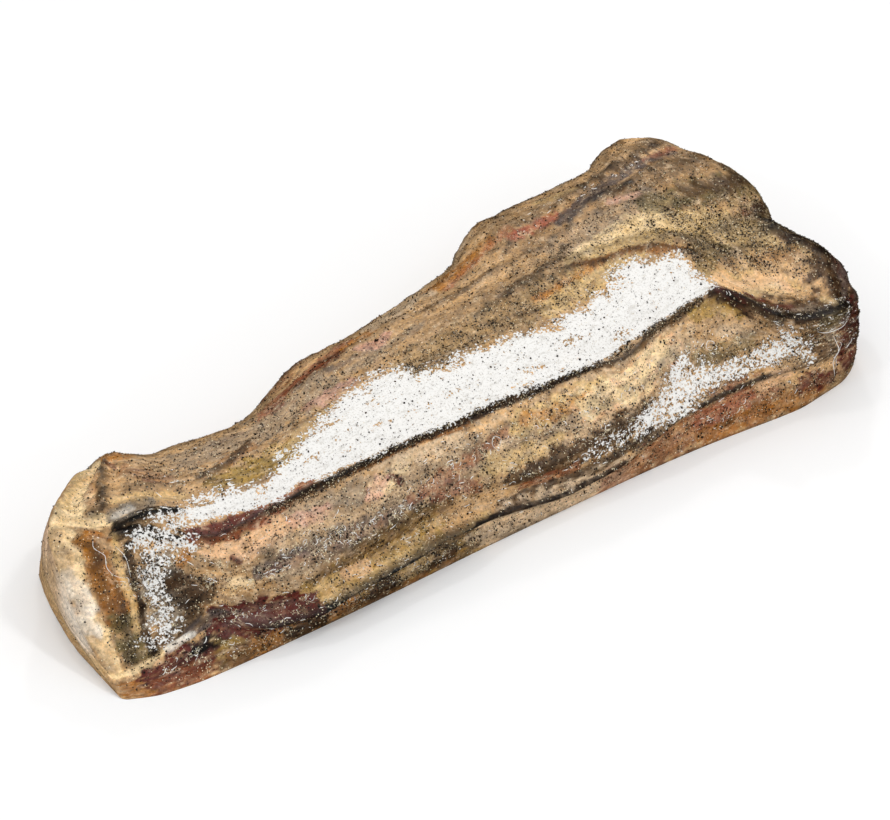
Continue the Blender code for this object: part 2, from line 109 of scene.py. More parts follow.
endLobe = ((0.275, 9), (0.330, 8), (0.400, 10), (0.450, 14))
endValley = ((0.270, 22), (0.330, 21), (0.400, 24), (0.450, 27))
domeValley = ((0.300, 446), (0.345, 452), (0.380, 462))
# Folds along the piece: line, from and to, height, width, how far beside the line, fade at the ends
longFolds = (
    (lowLine, (66, 270), 3.6, 5.5, 8.0, 20.0),       # lip of the upper flap
    (lowLine, (72, 206), -8.0, 2.6, 0.0, 18.0),      # gap under it
    (lowLine, (206, 300), -3.0, 2.6, 0.0, 18.0),
    (lowLine, (70, 290), 2.4, 4.0, -6.5, 14.0),      # edge of the lower layer
    (highLine, (56, 392), -2.6, 2.2, 0.0, 14.0),     # crease above the flap
    (highLine, (62, 392), 1.4, 7.0, 8.0, 14.0),
    (highLine, (62, 392), 1.2, 7.0, -9.0, 14.0),
    (lowLine, (304, 452), -3.4, 2.6, 0.0, 14.0),     # seam of the broad half
    (lowLine, (304, 470), 2.0, 6.0, -9.0, 14.0),
    (highLine, (-20, 30), 3.2, 3.4, 0.0, 8.0),       # pinch of the parcel end
    (pinchCurl, (30, 56), 3.2, 3.4, 0.0, 7.0),
    (highLine, (33, 54), -4.2, 4.4, 1.0, 8.0),
    (lowLine, (4, 60), 3.2, 3.2, 0.0, 8.0),
    (highLine, (402, 460), -8.0, 6.0, 0.0, 12.0),    # hollow of the broad end
    (topValley, (200, 410), -1.6, 9.0, 0.0, 40.0),
    (topRidge, (230, 420), 1.4, 12.0, 0.0, 40.0),
)
# Folds across it: path as (share round the section, along), height, width
crossFolds = (
    (panelPleat, 2.4, 3.0),
    (endLobe, 2.6, 6.0),
    (endValley, -2.4, 4.0),
    (domeValley, -3.0, 9.0),
)
# Lumps and hollows: place along, share round the section, height, length, breadth
swellings = (
    (42, 0.150, -3.6, 13, 17),
    (434, 0.265, 5.0, 28, 15),
    (462, 0.160, 3.0, 16, 24),
    (330, 0.590, 2.5, 20, 22),
    (436, 0.540, 2.6, 24, 26),
)


def smoothStep(low, high, value):
    share = np.clip((value - low) / (high - low), 0.0, 1.0)
    return share * share * (3.0 - 2.0 * share)


def smoothLine(points, at):  # a curve through (place, value...) points that doesn't swing past them
    table = np.array(points, float)
    places = table[:, 0]
    values = table[:, 1] if table.shape[1] == 2 else table[:, 1:]
    step = np.diff(places)
    slope = (np.diff(values, axis=0).T / step).T
    tangent = np.zeros_like(values)
    tangent[0] = slope[0]
    tangent[-1] = slope[-1]
    sameWay = slope[:-1] * slope[1:] > 0
    total = np.where(sameWay, slope[:-1] + slope[1:], 1.0)
    tangent[1:-1] = np.where(sameWay, 2 * slope[:-1] * slope[1:] / total, 0.0)
    at = np.clip(np.asarray(at, float), places[0], places[-1])
    cell = np.clip(np.searchsorted(places, at, side="right") - 1, 0, len(step) - 1)
    shape = at.shape + (1,) * (values.ndim - 1)
    part = ((at - places[cell]) / step[cell]).reshape(shape)
    width = step[cell].reshape(shape)
    rise = (1 + 2 * part) * (1 - part) ** 2 * values[cell] + part * part * (3 - 2 * part) * values[cell + 1]
    bend = part * (1 - part) ** 2 * width * tangent[cell]
    bend = bend + part * part * (part - 1) * width * tangent[cell + 1]
    return rise + bend


def sectionCurve(knots, shares):  # natural cubic through the seven edges of each section
    gap = np.diff(edgeShares)
    count = len(edgeShares)
    system = np.eye(count)
    load = np.zeros((len(knots), count, 2))
    for i in range(1, count - 1):
        system[i, i - 1:i + 2] = (gap[i - 1], 2 * (gap[i - 1] + gap[i]), gap[i])
        after = (knots[:, i + 1] - knots[:, i]) / gap[i]
        before = (knots[:, i] - knots[:, i - 1]) / gap[i - 1]
        load[:, i] = 6 * (after - before)
    bend = np.einsum("ij,njk->nik", np.linalg.inv(system), load)
    cell = np.clip(np.searchsorted(edgeShares, shares, side="right") - 1, 0, count - 2)
    row = np.arange(len(knots))[:, None]
    width = gap[cell][..., None]
    near = (edgeShares[cell + 1] - shares)[..., None] / width
    far = 1 - near
    straight = near * knots[row, cell] + far * knots[row, cell + 1]
    curved = (near ** 3 - near) * bend[row, cell] + (far ** 3 - far) * bend[row, cell + 1]
    return straight + curved * width ** 2 / 6


def sectionAt(along, shares):
    knots = np.stack([smoothLine(edge, along) for edge in edges], 1)
    side = sectionCurve(knots, np.minimum(shares, edgeShares[-1]))
    part = np.clip((shares - edgeShares[-1]) / (1 - edgeShares[-1]), 0.0, 1.0)[..., None]
    floor = knots[:, -1:] * (1 - part) + knots[:, :1] * part
    out = np.where(part > 0, floor, side)
    out[..., 1] = np.maximum(out[..., 1], 0.0)
    return out


def narrowFace(across, up):
    lean = slab["leanFront"] + (slab["leanBack"] - slab["leanFront"]) * smoothStep(*slab["leanTurn"], across)
    rise = (np.clip(up, 0, None) / slab["leanHeight"]) ** slab["leanCurve"]
    return smoothLine(narrowPlan, across) + lean * rise


def broadFace(across, up):
    return smoothLine(broadPlan, across) + 0 * up


def drawIn(along, start, radius, way):
    reach = np.clip(way * (along - start) / radius, 0.0, 1.0)
    return 1 - np.sqrt(np.clip(1 - reach ** 2, 0.0, 1.0))


def baseBody(along, shares):
    flat = sectionAt(along, shares)
    middle = (flat[..., 0].min(1) + flat[..., 0].max(1)) / 2
    half = (flat[..., 0].max(1) - flat[..., 0].min(1)) / 2
    near = drawIn(along, slab["narrowRound"], slab["narrowRound"], -1)
    far = drawIn(along, longEnd - slab["broadRound"], slab["broadRound"], 1)
    inset = slab["narrowRound"] * near + slab["broadRound"] * far
    across = middle[:, None] + (flat[..., 0] - middle[:, None]) * (1 - inset / half)[:, None]
    up = flat[..., 1] * (1 - inset / flat[..., 1].max(1))[:, None]
    lift = slab["floorRound"] * (near ** 2 + far ** 2)[:, None]
    up = up + lift * np.clip(1 - up / (6 * slab["floorRound"]), 0.0, 1.0)
    nearEnd = (1 - smoothStep(0, slab["narrowReach"], along))[:, None]
    farEnd = smoothStep(longEnd - slab["broadReach"], longEnd, along)[:, None]
    x = along[:, None] + narrowFace(across, up) * nearEnd + (broadFace(across, up) - longEnd) * farEnd
    return np.stack((x, across, up), -1)


def outward(points):
    normal = np.cross(np.roll(points, -1, 1) - np.roll(points, 1, 1), np.gradient(points, axis=0))
    return normal / np.maximum(np.linalg.norm(normal, axis=-1, keepdims=True), 1e-9)


def girthAt(along, shares):  # millimetres round the section from the front foot
    fine = np.linspace(0.0, 1.0, 201)
    flat = sectionAt(along, np.repeat(fine[None], len(along), 0))
    length = np.zeros(flat.shape[:2])
    length[:, 1:] = np.cumsum(np.linalg.norm(np.diff(flat, axis=1), axis=2), axis=1)
    return np.array([np.interp(share, fine, row) for share, row in zip(shares, length)])


def longFold(chart, path, stretch, height, width, shift, fade):
    centre = girthAt(chart["along"], smoothLine(path, chart["along"])[:, None])
    away = (chart["girth"] - centre - shift) / width
    start, end = stretch
    ends = smoothStep(start - fade, start + fade, chart["along"])
    ends = ends * (1 - smoothStep(end - fade, end + fade, chart["along"]))
    return height * ends[:, None] * np.exp(-away ** 2)


def crossFold(chart, path, height, width, fade=0.03):
    shares = chart["shares"]
    away = (chart["along"][:, None] - smoothLine(path, shares)) / width
    ends = smoothStep(path[0][0] - fade, path[0][0] + fade / 2, shares)
    ends = ends * (1 - smoothStep(path[-1][0] - fade / 2, path[-1][0] + fade, shares))
    return height * ends * np.exp(-away ** 2)


def swelling(chart, place, share, height, length, breadth):
    centre = girthAt(chart["along"], np.full((len(chart["along"]), 1), share))
    away = ((chart["along"][:, None] - place) / length) ** 2 + ((chart["girth"] - centre) / breadth) ** 2
    return height * np.exp(-away)


def foldRelief(chart):
    height = sum(longFold(chart, *fold) for fold in longFolds)
    height += sum(crossFold(chart, *fold) for fold in crossFolds)
    return height + sum(swelling(chart, *lump) for lump in swellings)


def noiseField(places, scale, seed, layers=1):  # signed noise at points, scale in millimetres for each axis
    coords = places.reshape(-1, 3) / np.array(scale) + seed
    out = np.zeros(len(coords))
    for layer in range(layers):
        size = 2.0 ** layer
        out += np.array([noise.noise(Vector(p)) for p in coords * size]) / size
    return out.reshape(places.shape[:-1])


print("slab form")

# Mesh of the slab: rings across the piece, capped at both ends, with what each point needs for its finish
relief = {
    "slowScale": ((52.0, 24.0, 22.0), 1.9),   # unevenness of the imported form: size in mm, height in mm
    "quickScale": ((24.0, 10.0, 11.0), 0.9),
    "fibre": ((9.0, 2.6, 2.6), 0.36),         # lengthwise fibres of meat and fat
    "dimple": ((5.5, 4.4, 4.4), 0.52),        # small hollows where fat has shrunk
    "grit": ((2.3, 2.0, 2.0), 0.16),
    "floorClear": (0.0, 6.0),
}
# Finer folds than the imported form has: (height in mm, (along, band, width in mm) points)
wrinkles = (
    (2.0, ((6, 1.1, 3.0), (6, 1.5, 3.2), (7, 1.96, 3.4))),                        # edge of the narrow end
    (-2.6, ((17, 1.2, 5.5), (17, 1.6, 5.5), (18, 1.86, 4.5))),                    # sunk panel beside it
    (3.2, ((16, 2.32, 7), (18, 2.6, 8), (18, 3.0, 8))),                           # fat lobe
    (-2.6, ((28, 2.24, 2.6), (31, 2.5, 3.0), (32, 2.9, 3.2))),
    (1.6, ((38, 2.45, 4), (41, 2.75, 4))),
    (-3.5, ((392, 1.95, 4.5), (402, 1.93, 5.5), (414, 1.96, 4.5))),               # hollow of the broad end
    (-2.6, ((414, 1.98, 4.5), (434, 2.0, 5), (456, 2.0, 5))),
    (2.2, ((410, 2.24, 12), (426, 2.32, 15), (438, 2.3, 11))),                    # fat lobe above it
    (-2.8, ((449, 2.1, 4.5), (453, 2.3, 5.5), (453, 2.5, 5))),
    (2.0, ((466, 1.9, 7), (468, 2.3, 7))),
    (1.8, ((436, 1.72, 7), (452, 1.72, 7))),
    (2.8, ((58, 0.93, 5), (80, 0.93, 5.5), (98, 0.96, 4.5))),                     # wet lip over the gap
    (1.8, ((160, 1.72, 6), (166, 1.75, 6))),                                      # lumps of fat on the flap
    (1.4, ((118, 1.85, 7), (128, 1.8, 6))),
    (-1.3, ((140, 1.75, 5), (150, 1.7, 5))),
    (1.5, ((190, 1.85, 6), (212, 1.85, 6))),
    (1.2, ((232, 1.6, 6), (240, 1.62, 6))),
    (-1.3, ((215, 1.75, 5), (228, 1.7, 5))),
    (1.6, ((120, 1.15, 5), (140, 1.13, 5))),
    (1.4, ((160, 1.15, 5), (176, 1.16, 5))),
    (1.5, ((258, 1.82, 7), (280, 1.85, 7))),
    (1.5, ((310, 1.8, 8), (330, 1.78, 8))),
    (-1.3, ((292, 1.72, 4), (300, 1.6, 5))),
    (1.6, ((75, 1.8, 8), (84, 1.82, 8))),
    (-1.5, ((92, 1.7, 4), (98, 1.6, 4))),
    (1.5, ((66, 1.5, 6), (74, 1.45, 5))),
    (1.3, ((365, 1.65, 8), (385, 1.62, 8))),
    (1.5, ((100, 2.4, 8), (124, 2.4, 8))),                                        # and on the top
    (-1.4, ((136, 2.55, 5), (150, 2.62, 5))),
    (1.5, ((180, 2.75, 7), (210, 2.75, 7))),
    (1.8, ((360, 2.6, 9), (390, 2.58, 9))),
    (1.6, ((420, 2.7, 9), (440, 2.72, 9))),
    (-1.4, ((400, 2.72, 5), (410, 2.8, 5))),
    (1.5, ((300, 2.9, 7), (330, 2.92, 7))),
    (1.2, ((406, 2.2, 5), (414, 2.26, 5))),
    (1.2, ((426, 2.2, 5), (434, 2.24, 5))),
    (-1.1, ((420, 2.3, 4), (424, 2.4, 4))),
    (-1.6, ((322, 2.58, 2.4), (345, 2.48, 2.8), (362, 2.43, 2.6), (380, 2.34, 2.4), (398, 2.26, 2.0))),
    (1.1, ((330, 2.66, 4), (355, 2.58, 5), (385, 2.52, 5), (420, 2.46, 6))),
    (-1.2, ((336, 2.78, 3), (370, 2.86, 3.5), (400, 2.87, 3), (430, 2.88, 3))),
    (1.0, ((340, 2.9, 3), (375, 3.0, 4), (410, 3.0, 4))),
    (-1.3, ((352, 2.98, 2.4), (380, 3.06, 2.6), (410, 3.05, 2.4))),
    (-1.0, ((78, 2.56, 1.8), (96, 2.6, 1.8), (114, 2.78, 1.8))),
    (0.9, ((84, 2.48, 3), (108, 2.5, 3.5), (134, 2.52, 3))),
    (-1.1, ((240, 2.9, 3), (270, 2.88, 3), (300, 2.82, 3), (330, 2.76, 2.5))),
    (-1.0, ((262, 2.6, 2.4), (300, 2.6, 2.6), (334, 2.68, 2.4))),
    (0.9, ((252, 3.05, 4), (290, 3.04, 4), (318, 3.0, 3))),
    (-1.2, ((150, 3.0, 3), (190, 2.98, 3), (230, 2.98, 2.5))),
    (0.9, ((140, 2.86, 4), (180, 2.82, 4), (220, 2.84, 4))),
    (-0.8, ((24, 2.2, 2), (29, 2.5, 2.0), (30, 2.9, 2.0))),
    (1.2, ((30, 2.3, 2), (48, 2.33, 2.2), (66, 2.42, 2))),
    (-1.0, ((34, 2.42, 2), (50, 2.46, 2), (70, 2.55, 2))),
    (3.2, ((3, 2.05, 2.6), (14, 2.065, 2.6), (26, 2.09, 2.6), (38, 2.17, 2.6), (50, 2.25, 2.2))),
    (-3.6, ((27, 2.01, 2.2), (38, 2.06, 3.2), (52, 2.13, 3.0), (60, 2.18, 2.0))),
    (-2.2, ((27, 1.95, 2.4), (40, 1.9, 2.8), (54, 1.86, 2.2))),
    (1.5, ((21, 1.9, 1.5), (20, 1.7, 1.4), (17, 1.5, 1.4))),
    (-2.0, ((30, 1.85, 1.7), (27, 1.55, 1.7), (24, 1.25, 1.7))),
    (1.6, ((25, 1.92, 1.5), (23, 1.6, 1.5), (20, 1.25, 1.5))),
    (2.0, ((1, 1.05, 2.6), (20, 1.05, 2.6), (36, 1.06, 2.6), (48, 1.06, 2.2))),
    (1.2, ((56, 1.42, 2.2), (62, 1.56, 2.2), (68, 1.68, 2.0))),
    (-1.0, ((60, 1.4, 2.0), (67, 1.52, 1.8))),
    (1.0, ((84, 1.55, 2.5), (120, 1.52, 3), (150, 1.46, 3), (180, 1.5, 2.5))),
    (-1.0, ((86, 1.46, 2.2), (120, 1.42, 2.4), (160, 1.38, 2.4), (188, 1.4, 2))),
    (0.9, ((180, 1.55, 4), (215, 1.66, 4), (245, 1.76, 3))),
    (-0.8, ((196, 1.48, 3), (225, 1.56, 3), (250, 1.64, 2.5))),
    (1.0, ((250, 1.5, 3.5), (290, 1.54, 3.5), (330, 1.56, 3))),
    (-1.3, ((236, 1.32, 3), (280, 1.38, 3.4), (326, 1.42, 2.6))),
    (-1.2, ((246, 1.1, 2), (280, 1.12, 2.4), (318, 1.1, 2))),
    (1.3, ((334, 1.32, 5), (356, 1.36, 6), (378, 1.3, 4))),
    (1.2, ((404, 1.3, 5), (416, 1.45, 6), (424, 1.35, 5))),
    (-1.2, ((366, 1.1, 2.4), (390, 1.14, 2.6), (404, 1.16, 2))),
    (-1.0, ((392, 1.5, 3), (404, 1.62, 3), (416, 1.72, 3))),
    (-2.4, ((396, 1.93, 3.0), (404, 1.93, 3.6), (414, 1.96, 3))),
    (1.6, ((438, 1.66, 2.0), (446, 1.52, 2.0), (456, 1.46, 2.0), (463, 1.6, 2.0))),
    (-1.4, ((446, 1.2, 2.4), (452, 0.9, 2.2), (452, 0.4, 2.2))),
    (1.5, ((452, 1.3, 1.6), (456, 0.9, 1.5), (456, 0.3, 1.5))),
    (-1.0, ((110, 0.4, 2.5), (150, 0.35, 2.5), (200, 0.4, 2))),
    (0.9, ((352, 0.55, 3), (385, 0.7, 3), (415, 0.7, 3))),
    (-1.2, ((60, 3.4, 4), (120, 3.5, 4), (180, 3.45, 4))),
    (-1.2, ((300, 3.5, 4), (360, 3.45, 5), (430, 3.5, 5))),
    (1.0, ((200, 3.6, 5), (260, 3.55, 5), (300, 3.6, 4))),
)
# Even millimetres for each band, so that streaks follow the folds
flowWidths = (0.0, 28.0, 74.0, 150.0, 212.0, 330.0)


def bandShares(along):  # shares where each band starts, one row for each station
    low = smoothLine(lowLine, along)
    high = smoothLine(highLine, along)
    level = np.zeros_like(low)
    return np.stack((level, low, high, level + slab["crownShare"], level + edgeShares[-1], level + 1), 1)


def columnShares(along):
    limits = bandShares(along)
    steps = []
    for band, count in enumerate(slab["bandColumns"]):
        part = np.linspace(0, 1, count + 1)[:-1]
        if band == 0:
            part = 1 - (1 - part) ** 1.35                       # closer together towards the gap
        elif band == 1:
            part = 0.5 * part + 0.25 * (1 - np.cos(math.pi * part))
        elif band == 2:
            part = part ** 1.12
        steps.append(limits[:, band:band + 1] + (limits[:, band + 1] - limits[:, band])[:, None] * part)
    return np.hstack(steps)


def bandOf(along, shares):
    return np.array([np.interp(share, limit, range(6)) for share, limit in zip(shares, bandShares(along))])


def shareOf(along, band):
    return np.array([np.interp(b, range(6), limit) for b, limit in zip(band, bandShares(along))])


def stationPlaces():
    turn = np.linspace(0, math.pi / 2, slab["endSteps"] + 1)
    near = slab["narrowRound"] * (1 - np.cos(turn))
    far = longEnd - slab["broadRound"] * (1 - np.sin(turn))
    middle = np.linspace(slab["narrowRound"], longEnd - slab["broadRound"], slab["stations"])
    return np.concatenate((near[:-1], middle, far[1:]))


def capRings(ring, face, bulge):  # ever smaller and smoother copies of an end ring, on that end's face
    centre = ring.mean(0)
    centre[2] = ring[:, 2].max() / 2
    shares = np.linspace(1, 0, slab["capRings"] + 2)[1:-1]
    even = ring.copy()
    rings = []
    for share in shares:
        for _ in range(slab["capSmoothing"]):
            even = (np.roll(even, 1, 0) + 2 * even + np.roll(even, -1, 0)) / 4
        copy = centre + (even - centre) * share
        proud = even[:, 0] - face(even[:, 1], even[:, 2])
        copy[:, 0] = face(copy[:, 1], copy[:, 2]) + proud * share ** 2 + bulge * (1 - share ** 2)
        rings.append(copy)
    return np.array(rings), shares


def placeOnFlow(along, band, capShare, way):
    across = np.interp(band, range(6), flowWidths)
    return np.stack((along, across * capShare, way * slab["capFlow"] * (1 - capShare)), -1)


def slabGrid():
    along = stationPlaces()
    shares = columnShares(along)
    points = baseBody(along, shares)
    chart = {"along": along, "shares": shares, "girth": girthAt(along, shares)}
    height = foldRelief(chart)
    height += relief["slowScale"][1] * noiseField(points, relief["slowScale"][0], (0, 0, 3.0))
    height += relief["quickScale"][1] * noiseField(points, relief["quickScale"][0], (9.0, 0, 0))
    fromEnd = smoothStep(0, slab["endReliefReach"], along)
    height *= (slab["endRelief"] + (1 - slab["endRelief"]) * fromEnd)[:, None]
    band = bandOf(along, shares)
    flow = placeOnFlow(np.repeat(along[:, None], shares.shape[1], 1), band, np.ones_like(band), 0)
    offFloor = smoothStep(*relief["floorClear"], points[..., 2])
    offFloor[shares >= edgeShares[-1]] = 0.0
    grid = {"along": flow[..., 0], "girth": chart["girth"], "band": band, "flow": flow}
    grid["cap"] = np.zeros_like(band)
    return grid, points, height, offFloor


def addCaps(grid, points):  # the ends, with the same columns as the last rings
    near, share = capRings(points[0], narrowFace, -slab["narrowBulge"])
    far, _ = capRings(points[-1], broadFace, slab["broadBulge"])
    capBefore = -(1 - share)[::-1, None] * np.ones(points.shape[1])
    capAfter = (1 - share)[:, None] * np.ones(points.shape[1])
    rings = np.concatenate((near[::-1], points, far))
    full = {}
    for name in ("along", "girth", "band", "height"):
        before = np.repeat(grid[name][:1], len(near), 0)
        after = np.repeat(grid[name][-1:], len(far), 0)
        full[name] = np.concatenate((before, grid[name], after))
    full["cap"] = np.concatenate((capBefore, grid["cap"], capAfter))
    full["flow"] = placeOnFlow(full["along"], full["band"], 1 - np.abs(full["cap"]), np.sign(full["cap"]))
    return full, rings


# Pigments of the surface, sRGB. The blackest is painted shade only, the near-black brown both a real dark
# brown and painted shade.
pigments = {
    "cream": "e9cc9c", "peach": "dfb287", "rose": "cd9a86", "amber": "b87a36", "honey": "a0662a",
    "ochre": "a4833f", "straw": "d2b078", "tan": "bb9568", "beige": "caaf8e", "ash": "938471",
    "slate": "60524c", "rust": "86492b", "brick": "9c543a", "wine": "5c241d", "umber": "563b20",
    "olive": "77663c", "darkBrownAndShade": "321e0e", "paintedShadeBlack": "0f0805", "chalk": "e9e4da",
}
